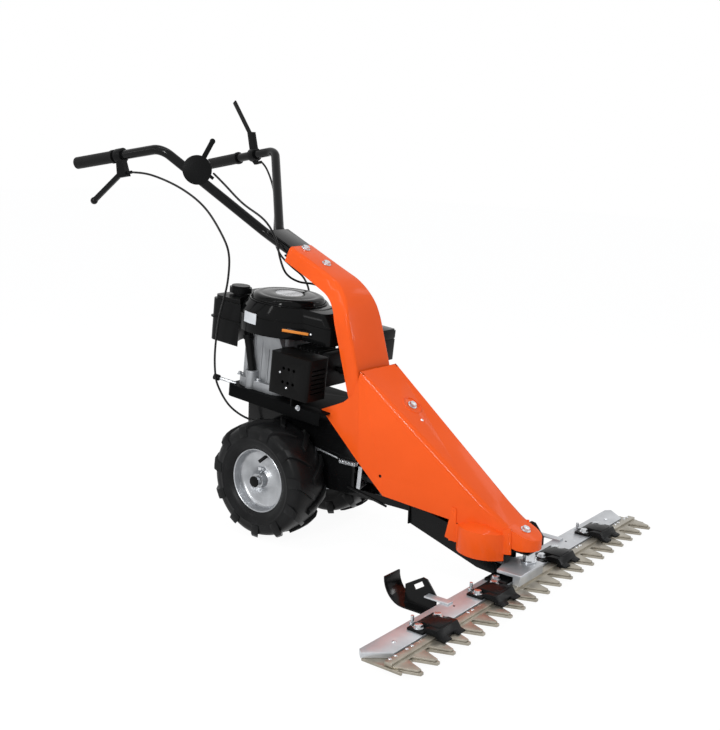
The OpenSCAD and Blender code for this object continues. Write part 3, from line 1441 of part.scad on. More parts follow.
module knife_holder() {
  low = knife_top + gap;
  translate([-hold_w / 2, bar_front_y + cut, bar_top]) cube([hold_w, hold_rear_y - bar_front_y - cut,
      wing_h]);
  along_x(-bolt_off + bolt_af * 3 / 4, bolt_off - bolt_af * 3 / 4) polygon([[hold_rear_y, bar_top +
      wing_h - cut], [hold_ridge_y, hold_top],
    [strip_front_y, hold_top], [strip_front_y, bar_top], [hold_rear_y, bar_top]]);
  along_x(-arm_half, arm_half) polygon([[bar_front_y + 2 * plate_t, bar_top], [bar_front_y + 2 * plate_t,
      hold_top - wing_h],
    [bar_front_y - plate_t, hold_top - plate_t / 2], [strip_front_y - plate_t, hold_top - plate_t / 2],
        [root_y - plate_t, bar_top],
    [root_y - plate_t, low], [strip_front_y - 2 * cut, low], [strip_front_y - 2 * cut, bar_top]]);
  for (k = [-1, 1]) along_x(k * (arm_half - finger_w / 2) - finger_w / 2, k * (arm_half - finger_w / 2) +
      finger_w / 2)
    polygon([[root_y, low], [root_y, bar_top], [root_y - plate_t, bar_top], [hold_tip_y, low + knife_t],
        [hold_tip_y, low]]);
}

module knife_holders() {
  color(black) for (x = hold_xs) translate([x, 0, 0]) knife_holder();
}

hold_bolt_y = -730;
flange_edge = 10;
flange_bolt_x = flange_half - flange_edge;
flange_bolt_y = -718;
bar_bolt_h = 9;
bar_bolt_af = 16;
stud_d = 8;
stud_h = 20;

module bar_bolt() {
  cylinder(d = bar_bolt_af * 3 / 2, h = bar_bolt_h / 4);
  hex(bar_bolt_af, bar_bolt_h);
}

module bar_bolts() {
  color(steel) {
    for (x = hold_xs) {
      for (k = [-1, 1]) translate([x + k * bolt_off, hold_bolt_y, bar_top + wing_h]) bar_bolt();
      // lock stud behind the holder
      translate([x - bolt_off / 2, hold_rear_y + stud_d, bar_top]) {
        cylinder(d = stud_d, h = stud_h);
        hex(stud_d * 3 / 2, stud_h / 3);
      }
    }
    for (k = [-1, 1]) translate([k * flange_bolt_x, flange_bolt_y, bar_top + flange_t]) bar_bolt();
  }
}

// driving plate: the eccentric's slot behind, bolted lip on the knife's back in front
drive_t = 8;
drive_room = 2;
drive_z = bar_top + flange_t + bar_bolt_h + drive_room;
tongue_half = 22;
tongue_rear_y = -598;
plate_rear_y = -700;
plate_lip = 2;
plate_front_y = strip_front_y - plate_lip;
plate_x0 = -78;
plate_x1 = 42;
slot_half = crank_pin_d / 2 + gap;
slot_l = 2 * throw + crank_pin_d + plate_t;
drive_bolt_x = 24;
drive_bolt_y = -744;
drive_bolt_af = 27;
drive_bolt_h = 36;
ecc_low = from_engine([0, -ecc_y, -web_z - web_h]);

module drive_plate() {
  lip = knife_rear_y - cut;
  color(steel) {
    translate([0, 0, drive_z]) linear_extrude(drive_t) difference() {
      union() {
        translate([-tongue_half, plate_rear_y - cut]) square([2 * tongue_half, tongue_rear_y -
            plate_rear_y + cut]);
        polygon([[-tongue_half, plate_rear_y], [plate_x0, plate_rear_y - plate_t * 3], [plate_x0,
            plate_front_y],
          [plate_x1, plate_front_y], [plate_x1, plate_rear_y - plate_t * 3], [tongue_half, plate_rear_y]]);
      }
      translate([-slot_half, ecc_low[1] - slot_l / 2]) square([2 * slot_half, slot_l]);
    }
    translate([plate_x0, strip_front_y, strip_top]) cube([plate_x1 - plate_x0, lip - strip_front_y,
        drive_z - strip_top + cut]);
  }
}

module drive_bolt() {
  color(steel) translate([drive_bolt_x, drive_bolt_y, drive_z + drive_t]) {
    cylinder(d = drive_bolt_af * 3 / 2, h = plate_t);
    hex(drive_bolt_af, drive_bolt_h);
  }
}

// skids: bent shoes that carry the bar, with a slotted ear and a flat stay
shoe_t = 4;
shoe_rear_y = -527;
shoe_rear_z = 64;
shoe_flat_y = -585;
shoe_toe_y = -660;
shoe_end_y = -745;
shoe_ramp_y = -702;
shoe_steps = 8;
shoe_low = concat([for (i = [0:shoe_steps]) [shoe_flat_y + (shoe_rear_y - shoe_flat_y) * cos(90 * i /
    shoe_steps),
  shoe_rear_z * (1 - sin(90 * i / shoe_steps))]], [[shoe_toe_y, 0], [shoe_ramp_y, comb_z - shoe_t],
      [shoe_end_y, comb_z - shoe_t]]);
shoe_top = concat([for (i = [0:shoe_steps]) [shoe_flat_y + (shoe_rear_y - shoe_flat_y - shoe_t) * cos(90 *
    i / shoe_steps),
  shoe_rear_z - (shoe_rear_z - shoe_t) * sin(90 * i / shoe_steps)]], [[shoe_toe_y - shoe_t / 4, shoe_t],
      [shoe_ramp_y - shoe_t / 4, comb_z], [shoe_end_y, comb_z]]);
skid_ear_y = -571;
skid_ear_l = 89;
skid_ear_h = 78;
ear_shares = [[0, 0.03], [0, 0.62], [0.33, 0.85], [0.55, 1], [0.69, 0.97], [0.82, 0.79], [1, 0.53], [1,
    0.03]];
slot_shares = [[0.29, 0.59], [0.57, 0.8]];
function on_ear(s) = [skid_ear_y - s[0] * skid_ear_l, s[1] * skid_ear_h];
slot_w = 12;

module skids() {
  color(black) sides() {
    along_x(skid_x - skid_w / 2, skid_x + skid_w / 2) polygon(concat(shoe_low, back(shoe_top)));
    along_x(skid_x - shoe_t / 2, skid_x + shoe_t / 2) difference() {
      polygon([for (s = ear_shares) on_ear(s)]);
      link(on_ear(slot_shares[0]), on_ear(slot_shares[1]), slot_w);
    }
  }
}

stay_w = 22;
stay_t = 4;
stay_rear_y = -640;

module skid_strips() {
  x = skid_x + shoe_t / 2;
  color(steel) sides() translate([x, bar_rear_y - stay_w, bar_top]) cube([stay_w, stay_rear_y -
      bar_rear_y + stay_w, stay_t]);
}

// everything moves onto the shared origin
module placed() translate([0, -org_y, 0]) children();

placed() chassis();
placed() gearbox();
placed() axle();
placed() rims();
placed() tyres();
placed() hub_pins();
placed() deck();
placed() crankcase();
placed() cylinder_head();
placed() shroud();
placed() recoil();
placed() starter_grip();
placed() fuel_tank();
placed() fuel_cap();
placed() oil_tube();
placed() dipstick();
placed() silencer_guard();
placed() air_filter();
placed() carburettor();
placed() spark_plug();
placed() crankshaft();
placed() crank_pulley();
placed() gear_pulley();
placed() belt_wheel();
placed() belt_knife();
placed() ecc_pulley();
placed() ecc_shaft();
placed() ecc_housing();
placed() idler_arm();
placed() idler_pulley();
placed() spring();
placed() spring_rod();
placed() cover();
placed() ecc_guards();
placed() panel_bolts();
placed() neck();
placed() column();
placed() handle_r();
placed() handle_l();
placed() grips();
placed() clutch_mount();
placed() clutch_lever();
placed() drive_mount();
placed() drive_lever();
placed() throttle_box();
placed() throttle_lever();
placed() cable_clutch();
placed() cable_throttle();
placed() cable_drive();
placed() cable_stop();
placed() carrier();
placed() bar_plate();
placed() comb();
placed() knife();
placed() knife_holders();
placed() bar_bolts();
placed() drive_plate();
placed() drive_bolt();
placed() skids();
placed() skid_strips();
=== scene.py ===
# %% [markdown]
# A sickle bar mower, dressed for its portrait
#
# The machine's solids are ready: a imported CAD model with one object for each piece, in metres, with
# the front along -Y and the right side along -X. This lesson loads that frame, sets a camera and
# lamps, gives every piece a finish, rounds the edges that a press or a casting would round, and then
# models the small things that make a machine look made: bolts, rivets, beads and the tyres' bars.

# %% Load the frame
import json
import math
import bpy
import bmesh
from mathutils import Matrix, Vector


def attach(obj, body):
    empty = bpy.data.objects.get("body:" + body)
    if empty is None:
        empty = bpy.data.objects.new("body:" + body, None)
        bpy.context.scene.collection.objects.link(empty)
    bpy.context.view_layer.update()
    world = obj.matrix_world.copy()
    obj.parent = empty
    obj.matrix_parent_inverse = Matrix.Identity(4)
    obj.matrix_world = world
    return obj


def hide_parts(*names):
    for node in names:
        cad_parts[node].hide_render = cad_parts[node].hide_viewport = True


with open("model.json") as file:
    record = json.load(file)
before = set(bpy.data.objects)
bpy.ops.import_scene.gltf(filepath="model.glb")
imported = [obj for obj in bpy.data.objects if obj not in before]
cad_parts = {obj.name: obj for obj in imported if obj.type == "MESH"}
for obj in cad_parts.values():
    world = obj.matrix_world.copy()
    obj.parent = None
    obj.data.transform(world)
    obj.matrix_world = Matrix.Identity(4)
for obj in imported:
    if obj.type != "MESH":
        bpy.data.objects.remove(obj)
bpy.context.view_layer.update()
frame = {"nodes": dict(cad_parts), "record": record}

nodes = frame["nodes"]
record = frame["record"]
body_of_node = {n: body for body, members in record["behaviour"]["bodies"].items() for n in members}
slot_of_node = {s["node"]: s["material_slot"] for s in record["subparts"]}
bpy.ops.object.select_all(action="DESELECT")

# %% [markdown]
# The camera
#
# The photograph was taken from the right front, a little above the engine. The tyre's known size and
# the row of teeth gave the camera's place, its angles and a slight roll. A Track To constraint would
# lose the roll, so the angles become three unit vectors, right, up and back, which are the columns of
# the camera's matrix. The picture is a little taller than wide, so the sensor lies along its height.

# %% Camera
IMAGE_W, IMAGE_H = 720, 730
FOCAL_PX = 1092.4
SENSOR_MM = 36
FAR_CLIP = 50
CAMERA_AT = (-2.311, -1.8533, 1.089)
yaw, pitch, roll = (math.radians(a) for a in (-52.99, 11.67, 2.04))

back = Vector((math.sin(yaw) * math.cos(pitch), -math.cos(yaw) * math.cos(pitch), math.sin(pitch)))
level_right = Vector((math.cos(yaw), math.sin(yaw), 0))
level_up = back.cross(level_right)
right = level_right * math.cos(roll) + level_up * math.sin(roll)
up = level_up * math.cos(roll) - level_right * math.sin(roll)
bpy.ops.object.camera_add()
camera = bpy.context.object
camera.name = "portrait_camera"
camera.matrix_world = Matrix((right, up, back)).transposed().to_4x4()
camera.location = CAMERA_AT
camera.data.lens = SENSOR_MM * FOCAL_PX / max(IMAGE_W, IMAGE_H)
camera.data.clip_end = FAR_CLIP
bpy.context.scene.camera = camera
print("lens", round(camera.data.lens, 2), "mm")

# %% [markdown]
# Lamps
#
# Black paint shows its form by the bright lines that lamps leave on it. A point lamp would leave a dot
# and a very large one a haze, so five area lamps of a modest size stand round the machine: a key on the
# right, a weaker one at the left front, strips above and at the right rear, and a faint one for the
# cover's top. Each lamp has a place, an aim, a length, a width and a power in watts.

# %% Five area lamps
for name, place, aim, long, wide, watts in (
    ("key_box", (-3.0, -0.8, 1.8), (0, -0.1, 0.4), 1.4, 0.3, 49),
    ("front_box", (2.0, -2.4, 1.6), (0, -0.3, 0.5), 1.0, 0.3, 14),
    ("top_strip", (-0.6, 0.2, 3.1), (0, 0, 0.4), 3.0, 0.14, 14),
    ("glare_box", (2.4, -0.7, 2.2), (0, -0.25, 0.5), 0.5, 0.4, 1.5),
    ("side_strip", (-2.6, 1.2, 1.7), (0, 0.2, 0.6), 0.14, 2.6, 7),
):
    bpy.ops.object.light_add(type="AREA", location=place)
    lamp = bpy.context.object
    lamp.name = name
    lamp.data.shape = "RECTANGLE"
    lamp.data.size = wide
    lamp.data.size_y = long
    lamp.data.energy = watts
    lamp.rotation_euler = (Vector(aim) - Vector(place)).to_track_quat("-Z", "Y").to_euler()
    print(name, watts, "W")

# %% [markdown]
# Sky and floor
#
# The machine stands on pale paper in front of white. More light would burn out the paint, so the white
# is only what the camera, mirrors and glass see, which the Light Path node tells apart. All other rays
# meet a weak even sky and plain paper. The paper keeps a share of its own shading, and so the shadow.

# %% White background
SKY_TINT, SKY_STRENGTH = (0.95, 0.97, 1, 1), 0.55
WHITE = (1, 1, 1, 1)
PAPER_TONE, PAPER_GLOW, WHITE_SHARE = (0.82, 0.82, 0.82, 1), 1.07, 0.88
FLOOR_SIZE, FLOOR_Z = 30, -0.0005

def maths(tree, operation, first, second):
    """A Math node on a socket and a socket or number; gives its output."""
    node = tree.nodes.new("ShaderNodeMath")
    node.operation = operation
    tree.links.new(first, node.inputs[0])
    if isinstance(second, float):
        node.inputs[1].default_value = second
    else:
        tree.links.new(second, node.inputs[1])
    return node.outputs[0]

def white_seen(tree, plain, white, share):
    """Camera, mirror and glass rays see a share of white; all other light meets the plain shader."""
    path = tree.nodes.new("ShaderNodeLightPath").outputs
    seen = maths(tree, "MAXIMUM", path["Is Camera Ray"], path["Is Glossy Ray"])
    seen = maths(tree, "MAXIMUM", seen, path["Is Transmission Ray"])
    mix = tree.nodes.new("ShaderNodeMixShader")
    tree.links.new(maths(tree, "MULTIPLY", seen, share), mix.inputs[0])
    tree.links.new(plain.outputs[0], mix.inputs[1])
    tree.links.new(white.outputs[0], mix.inputs[2])
    return mix.outputs[0]

world = bpy.data.worlds.new("studio_sky")
bpy.context.scene.world = world
world.use_nodes = True
sky = world.node_tree
sky.nodes.clear()
dim_sky = sky.nodes.new("ShaderNodeBackground")
dim_sky.inputs["Color"].default_value = SKY_TINT
dim_sky.inputs["Strength"].default_value = SKY_STRENGTH
white_sky = sky.nodes.new("ShaderNodeBackground")
white_sky.inputs["Color"].default_value = WHITE
sky_out = sky.nodes.new("ShaderNodeOutputWorld")
sky.links.new(white_seen(sky, dim_sky, white_sky, 1.0), sky_out.inputs["Surface"])

bpy.ops.mesh.primitive_plane_add(size=FLOOR_SIZE, location=(0, 0, FLOOR_Z))
floor = bpy.context.object
floor.name = "studio_floor"
floor_paper = bpy.data.materials.new("floor_paper")
floor_paper.use_nodes = True
sheet = floor_paper.node_tree
sheet.nodes.clear()
paper = sheet.nodes.new("ShaderNodeBsdfDiffuse")
paper.inputs["Color"].default_value = PAPER_TONE
glow = sheet.nodes.new("ShaderNodeEmission")
glow.inputs["Strength"].default_value = PAPER_GLOW
sheet_out = sheet.nodes.new("ShaderNodeOutputMaterial")
sheet.links.new(white_seen(sheet, paper, glow, WHITE_SHARE), sheet_out.inputs["Surface"])
floor.data.materials.append(floor_paper)
bpy.context.scene.view_settings.view_transform = "Standard"
print("sky strength", SKY_STRENGTH, "and white share of the floor", WHITE_SHARE)

# %% [markdown]
# Finishes
#
# Real paint and metal are never one flat colour. Every finish here is a Principled shader whose colour,
# roughness and bump come from noise on Object coordinates, so that the pattern has one scale all over
# the machine and needs no unwrapping. A broad noise mixes two close tones of the colour; a fine one
# roughens and dimples the surface. Ground steel stretches the fine noise along one axis.

# %% One recipe for all finishes
COAT_ROUGHNESS = 0.06
TONE_STOPS = (0.3, 0.7)
CLOUD_DETAIL, GRAIN_DETAIL = 4, 3
LEAST_ROUGH = 0.02
DIMPLE_DEPTH = 0.001

def finish(name, dark, light, rough, fine, dimple, metal=0.0, coat=0.0, broad=9.0,
           stretch=(1, 1, 1), swing=0.08, spec=0.5):
    made = bpy.data.materials.new(name)
    made.use_nodes = True
    tree = made.node_tree
    shader = tree.nodes["Principled BSDF"]
    shader.inputs["Metallic"].default_value = metal
    shader.inputs["Specular IOR Level"].default_value = spec
    shader.inputs["Coat Weight"].default_value = coat
    shader.inputs["Coat Roughness"].default_value = COAT_ROUGHNESS
    coords = tree.nodes.new("ShaderNodeTexCoord")
    scale = tree.nodes.new("ShaderNodeMapping")
    scale.inputs["Scale"].default_value = stretch
    tree.links.new(coords.outputs["Object"], scale.inputs["Vector"])

    cloud = tree.nodes.new("ShaderNodeTexNoise")
    cloud.inputs["Scale"].default_value = broad
    cloud.inputs["Detail"].default_value = CLOUD_DETAIL
    tree.links.new(coords.outputs["Object"], cloud.inputs["Vector"])
    tones = tree.nodes.new("ShaderNodeValToRGB")
    for stop, place, tone in zip(tones.color_ramp.elements, TONE_STOPS, (dark, light)):
        stop.position = place
        stop.color = (*tone, 1)
    tree.links.new(cloud.outputs["Fac"], tones.inputs["Fac"])
    tree.links.new(tones.outputs["Color"], shader.inputs["Base Color"])

    grain = tree.nodes.new("ShaderNodeTexNoise")
    grain.inputs["Scale"].default_value = fine
    grain.inputs["Detail"].default_value = GRAIN_DETAIL
    tree.links.new(scale.outputs["Vector"], grain.inputs["Vector"])
    sheen = tree.nodes.new("ShaderNodeMapRange")
    sheen.inputs["To Min"].default_value = max(rough - swing, LEAST_ROUGH)
    sheen.inputs["To Max"].default_value = min(rough + swing, 1)
    tree.links.new(grain.outputs["Fac"], sheen.inputs["Value"])
    tree.links.new(sheen.outputs["Result"], shader.inputs["Roughness"])
    bump = tree.nodes.new("ShaderNodeBump")
    bump.inputs["Strength"].default_value = dimple
    bump.inputs["Distance"].default_value = DIMPLE_DEPTH
    tree.links.new(grain.outputs["Fac"], bump.inputs["Height"])
    tree.links.new(bump.outputs["Normal"], shader.inputs["Normal"])
    return made

orange_paint = finish("orange_gloss_paint", (0.83, 0.098, 0.012), (0.89, 0.110, 0.016),
                      rough=0.24, fine=900, dimple=0.02, coat=0.14, broad=5, swing=0.04, spec=0.03)
print(orange_paint.name, len(orange_paint.node_tree.nodes), "nodes")

# %% [markdown]
# Paints, plastics, rubber and metals
#
# Besides the orange sheet metal, most of the machine is black, and the blacks differ mostly in gloss:
# powder coat on the frame, a polished housing, grained plastic, rubber. White is all round, so a high
# specular level would wash the colours out; it stays low. Bare metal shows the surroundings instead.

# %% The machine's finishes
COOL = (0.97, 1.0, 1.04)

def tones_of(dark, light, tint=(1, 1, 1)):
    """Two greys, tinted alike."""
    return tuple(dark * t for t in tint), tuple(light * t for t in tint)

black_paint = finish("black_powder_coat", *tones_of(0.003, 0.006, COOL),
                     rough=0.16, fine=1400, dimple=0.03, swing=0.04, spec=0.14)
holder_black = finish("satin_black_casting", *tones_of(0.006, 0.012, COOL),
                      rough=0.24, fine=900, dimple=0.12, swing=0.06, spec=0.05)
heat_black = finish("heat_proof_black", *tones_of(0.003, 0.005),
                    rough=0.40, fine=1600, dimple=0.10, swing=0.07, spec=0.07)
deck_black = finish("flat_black_deck", *tones_of(0.003, 0.005, COOL),
                    rough=0.50, fine=1400, dimple=0.06, swing=0.06, spec=0.02)
dark_cast = finish("heat_darkened_cast", *tones_of(0.012, 0.022, COOL),
                   rough=0.50, fine=900, dimple=0.25, metal=0.3, broad=18, spec=0.05)
gloss_black = finish("gloss_black_housing", *tones_of(0.003, 0.005, COOL),
                     rough=0.10, fine=1100, dimple=0.01, swing=0.03, spec=0.09)
grain_black = finish("grained_black_plastic", *tones_of(0.004, 0.007, COOL),
                     rough=0.30, fine=2600, dimple=0.08, spec=0.07)
hand_rubber = finish("soft_grip_rubber", *tones_of(0.004, 0.008),
                     rough=0.50, fine=2200, dimple=0.14, spec=0.12)
tyre_rubber = finish("tyre_rubber", *tones_of(0.005, 0.011, COOL),
                     rough=0.36, fine=700, dimple=0.12, broad=22, swing=0.10, spec=0.11)
belt_rubber = finish("belt_rubber", *tones_of(0.014, 0.024),
                     rough=0.75, fine=1500, dimple=0.2, spec=0.2)
cable_skin = finish("cable_sheath", *tones_of(0.005, 0.008),
                    rough=0.32, fine=800, dimple=0.05, spec=0.2)
rim_silver = finish("silver_rim_paint", *tones_of(0.33, 0.47, COOL),
                    rough=0.30, fine=3000, dimple=0.10, metal=0.75, broad=24)
zinc_plate = finish("bright_zinc", *tones_of(0.52, 0.68, COOL),
                    rough=0.27, fine=1200, dimple=0.06, metal=0.95, broad=30, swing=0.10)
blade_steel = finish("ground_blade_steel", *tones_of(0.47, 0.62, COOL), rough=0.36, fine=500,
                     dimple=0.10, metal=0.55, broad=14, stretch=(0.08, 1, 1), swing=0.12)
tooth_steel = finish("ground_tooth_steel", (0.27, 0.245, 0.20), (0.41, 0.38, 0.32), rough=0.36, fine=600,
                     dimple=0.10, metal=0.8, broad=26, stretch=(1, 0.1, 1), swing=0.12)
cast_alu = finish("cast_aluminium", *tones_of(0.25, 0.34, COOL),
                  rough=0.48, fine=900, dimple=0.30, metal=0.7, broad=18, swing=0.10)

finish_of = {}
for names, made in (
    ("cover ecc_guards neck", orange_paint),
    ("chassis gearbox ecc_housing column handle_r handle_l", black_paint),
    ("carrier skids cable_stop clutch_lever drive_lever", black_paint),
    ("silencer_guard", heat_black),
    ("deck", deck_black),
    ("cylinder_head", dark_cast),
    ("knife_holders", holder_black),
    ("shroud recoil air_filter", gloss_black),
    ("fuel_tank fuel_cap starter_grip dipstick oil_tube spark_plug", grain_black),
    ("clutch_mount drive_mount throttle_box throttle_lever", grain_black),
    ("crankcase carburettor", cast_alu),
    ("axle hub_pins crankshaft ecc_shaft spring spring_rod", zinc_plate),
    ("panel_bolts bar_bolts drive_bolt idler_arm idler_pulley", zinc_plate),
    ("crank_pulley gear_pulley ecc_pulley", zinc_plate),
    ("bar_plate drive_plate skid_strips", blade_steel),
    ("comb knife", tooth_steel),
    ("cable_clutch cable_throttle cable_drive", cable_skin),
    ("belt_wheel belt_knife", belt_rubber),
    ("rims", rim_silver),
    ("tyres", tyre_rubber),
    ("grips", hand_rubber),
):
    for name in names.split():
        finish_of[name] = made
for name, node in nodes.items():
    node.data.materials.clear()
    node.data.materials.append(finish_of[name])
print("finishes on", len(finish_of), "nodes")

# %% [markdown]
# Copies of CAD nodes
#
# A CAD node's own mesh is never changed. Where its shape needs care, a copy gets it: the copy's loose
# triangles are merged, it is worked on, and then it takes over the node's finish and body.

# %% Start and end of a copy
MERGE = 0.00002

def pick(ob):
    bpy.ops.object.select_all(action="DESELECT")
    ob.select_set(True)
    bpy.context.view_layer.objects.active = ob

def copy_of(node):
    """A copy of a node, merged and open in edit mode with all of it selected."""
    copy = bpy.data.objects.new(node + "_dressed", nodes[node].data.copy())
    bpy.context.scene.collection.objects.link(copy)
    pick(copy)
    bpy.ops.object.mode_set(mode="EDIT")
    bpy.ops.mesh.select_all(action="SELECT")
    bpy.ops.mesh.remove_doubles(threshold=MERGE)
    bpy.ops.mesh.customdata_custom_splitnormals_clear()
    return copy

def stand_for(copy, node):
    """The finished copy takes the node's place."""
    copy.data.materials.clear()
    copy.data.materials.append(finish_of[node])
    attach(copy, body_of_node[node])
    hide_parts(node)
    return copy

print("points nearer than", MERGE, "m are merged")

# %% [markdown]
# Rounded edges
#
# A solid from CAD has knife-sharp corners, but folded sheet has a bend radius, a casting has fillets and
# even a sawn bar has its edges broken. A rounded edge also catches a line of light, which is how the eye
# reads it. A bevel on every edge would also round the sheet's cut edges, which are thin strips between
# two sharp edges. So folds are found first and get a wide bevel, and the rest get a narrow one.

# %% Copies with rounded edges
SHARP = math.radians(60)
FLAT = math.radians(0.4)
EDGE_ANGLE = math.radians(32)
EDGE_STEPS, FOLD_STEPS = 3, 6
RIM_RATIO, RIM_SHARE = 0.0016, 0.6

def thin_rim(face):
    """A sheet's cut edge is a thin strip between two sharp edges."""
    around = face.calc_perimeter()
    sharp = sum(e.calc_length() for e in face.edges if e.calc_face_angle(0) > SHARP)
    return face.calc_area() / around < RIM_RATIO and sharp > RIM_SHARE * around

def round_folds(copy, fold, shortest):
    """Bevel a sheet's folds, on the outer and the inner side alike."""
    bpy.ops.mesh.select_mode(type="EDGE")
    bpy.ops.mesh.select_all(action="DESELECT")
    mesh = bmesh.from_edit_mesh(copy.data)
    for e in mesh.edges:
        bent = e.is_manifold and e.calc_face_angle(0) > SHARP and e.calc_length() > shortest
        if bent and not any(thin_rim(f) for f in e.link_faces):
            e.select = True
    bmesh.update_edit_mesh(copy.data)
    bpy.ops.mesh.bevel(offset=fold, segments=FOLD_STEPS, affect="EDGES", clamp_overlap=False)
    bpy.ops.mesh.select_mode(type="VERT")

def dressed(node, edge, fold=0.0, shortest=0.0, join=0.0):
    copy = copy_of(node)
    bpy.ops.mesh.dissolve_limited(angle_limit=FLAT)
    if join:
        bpy.ops.mesh.dissolve_degenerate(threshold=join)
    if fold:
        round_folds(copy, fold, shortest)
    bpy.ops.object.mode_set(mode="OBJECT")
    broken = copy.modifiers.new("broken_edges", "BEVEL")
    broken.width = edge
    broken.segments = EDGE_STEPS
    broken.limit_method = "ANGLE"
    broken.angle_limit = EDGE_ANGLE
    bpy.ops.object.modifier_apply(modifier=broken.name)
    bpy.ops.object.shade_smooth_by_angle(angle=EDGE_ANGLE)
    print(copy.name, len(copy.data.polygons), "faces")
    return stand_for(copy, node)

dressed("cover", edge=0.0005, fold=0.012, shortest=0.060)
dressed("neck", edge=0.0005, fold=0.009, join=0.0019)
for names, edge in (
    ("ecc_guards", 0.001),
    ("shroud", 0.003),
    ("fuel_tank air_filter", 0.004),
    ("silencer_guard", 0.003),
    ("crankcase cylinder_head gearbox", 0.002),
    ("knife_holders", 0.0025),
    ("deck chassis carrier column skids", 0.0008),
    ("clutch_mount drive_mount throttle_box throttle_lever clutch_lever drive_lever", 0.002),
    ("panel_bolts bar_bolts drive_bolt", 0.0012),
    ("bar_plate drive_plate", 0.001),
    ("comb knife skid_strips cable_stop", 0.0005),
):
    for name in names.split():
        dressed(name, edge)

# %% [markdown]
# Tubes and cables
#
# The handlebars, the three cables and the spring come from CAD as tubes with few sides. New curves would
# have to repeat their routes point by point, so the copies keep them: triangles are joined into quads,
# the rings swell by what smoothing takes away, and subdivision makes the tubes round.

# %% Round tubes
QUAD_ANGLE = math.radians(60)

def smooth_tube(node, level, swell):
    copy = copy_of(node)
    bpy.ops.mesh.tris_convert_to_quads(face_threshold=QUAD_ANGLE, shape_threshold=QUAD_ANGLE)
    bpy.ops.transform.shrink_fatten(value=swell)
    bpy.ops.object.mode_set(mode="OBJECT")
    smooth = copy.modifiers.new("smooth", "SUBSURF")
    smooth.levels = smooth.render_levels = level
    bpy.ops.object.modifier_apply(modifier=smooth.name)
    bpy.ops.object.shade_smooth()
    print(copy.name, len(copy.data.polygons), "faces")
    return stand_for(copy, node)

for names, level, swell in (
    ("handle_r handle_l", 2, 0.0006),
    ("cable_clutch cable_throttle cable_drive", 2, 0.0003),
    ("spring", 1, 0.0001),
):
    for name in names.split():
        smooth_tube(name, level, swell)

# %% [markdown]
# Small hardware
#
# A machine is also its bolts and rivets. Each kind is modelled once, standing on the origin and pointing
# up, and copied to its places, each copy with a mesh of its own. A place is a point and the way that the
# piece points there. Copies of one kind on one body are joined into one piece.

# %% Helpers for pieces that repeat
UP = (0, 0, 1)
ENGINE_AT, ENGINE_TILT = (0, 0.170708, 0.388), math.radians(5)
ENGINE = Matrix.Translation(ENGINE_AT) @ Matrix.Rotation(ENGINE_TILT, 4, "X")

def standing(point, way=UP):
    return Matrix.Translation(point) @ Vector(way).to_track_quat("Z", "Y").to_matrix().to_4x4()

def both_sides(places):
    """Places on the machine's right side, and their mirror images on its left."""
    mirrored = [((-p[0], p[1], p[2]), (-w[0], w[1], w[2])) for p, w in places]
    return [standing(p, w) for p, w in places + mirrored]

def open_edit():
    pick(bpy.context.object)
    bpy.ops.object.mode_set(mode="EDIT")
    bpy.ops.mesh.select_all(action="SELECT")

def close_edit(angle=30):
    bpy.ops.object.mode_set(mode="OBJECT")
    bpy.ops.object.shade_smooth_by_angle(angle=math.radians(angle))

def set_down(name, places, finish_used, body, slot):
    """Copy the active object to its places and make the copies one finished piece."""
    master = bpy.context.object
    bpy.ops.object.select_all(action="DESELECT")
    for place in places:
        ob = bpy.data.objects.new(name, master.data.copy())
        bpy.context.scene.collection.objects.link(ob)
        ob.matrix_world = place
        ob.select_set(True)
        bpy.context.view_layer.objects.active = ob
    bpy.data.objects.remove(master, do_unlink=True)
    bpy.context.view_layer.update()
    if len(places) > 1:
        bpy.ops.object.join()
    bpy.ops.object.transform_apply(location=True, rotation=True, scale=True)
    open_edit()
    bpy.ops.mesh.normals_make_consistent(inside=False)
    bpy.ops.object.mode_set(mode="OBJECT")
    piece = bpy.context.object
    piece.name = name
    piece.data.name = name
    piece.data.materials.clear()
    piece.data.materials.append(finish_used)
    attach(piece, body)
    print(name, len(places), "places,", len(piece.data.polygons), "faces")
    return piece

FRAME_ZINC = (zinc_plate, "frame", "zinc_steel")
FRAME_ORANGE = (orange_paint, "frame", "orange_paint")
HOUSING_BLACK = (gloss_black, "frame", "black_plastic")
print("engine stands at", tuple(round(v, 3) for v in ENGINE.translation))

# %% [markdown]
# Hexagon bolts
#
# The deck is bolted to the side plates, and the sump to the crankcase. A bolt is a six-sided cylinder
# with bevelled edges. Its round washer is added inside the same mesh, so that both move as one.

# %% Bolts on the deck and the sump
CHAMFER, WASHER_REACH = 0.06, 0.85
SIDE_BOLT = [((-0.118, 0.0046, 0.3715), (-1, 0, 0))]
SUMP_BOLTS = [((-0.0844, 0.0846, 0.026), UP), ((-0.092, 0.006, 0.026), UP), ((-0.084, -0.055, 0.026), UP)]

def bolt(across, height, washer):
    bpy.ops.mesh.primitive_cylinder_add(vertices=6, radius=across / math.sqrt(3), depth=height)
    open_edit()
    bpy.ops.transform.translate(value=(0, 0, washer + height / 2))
    bpy.ops.mesh.bevel(offset=across * CHAMFER, segments=2, affect="EDGES")
    bpy.ops.mesh.primitive_cylinder_add(vertices=32, radius=across * WASHER_REACH, depth=washer,
                                        location=(0, 0, washer / 2))
    close_edit()

bolt(across=0.009, height=0.006, washer=0.0012)
set_down("deck_side_bolts", both_sides(SIDE_BOLT), *FRAME_ZINC)
bolt(across=0.010, height=0.007, washer=0.0015)
set_down("sump_bolts", [ENGINE @ place for place in both_sides(SUMP_BOLTS)], *FRAME_ZINC)

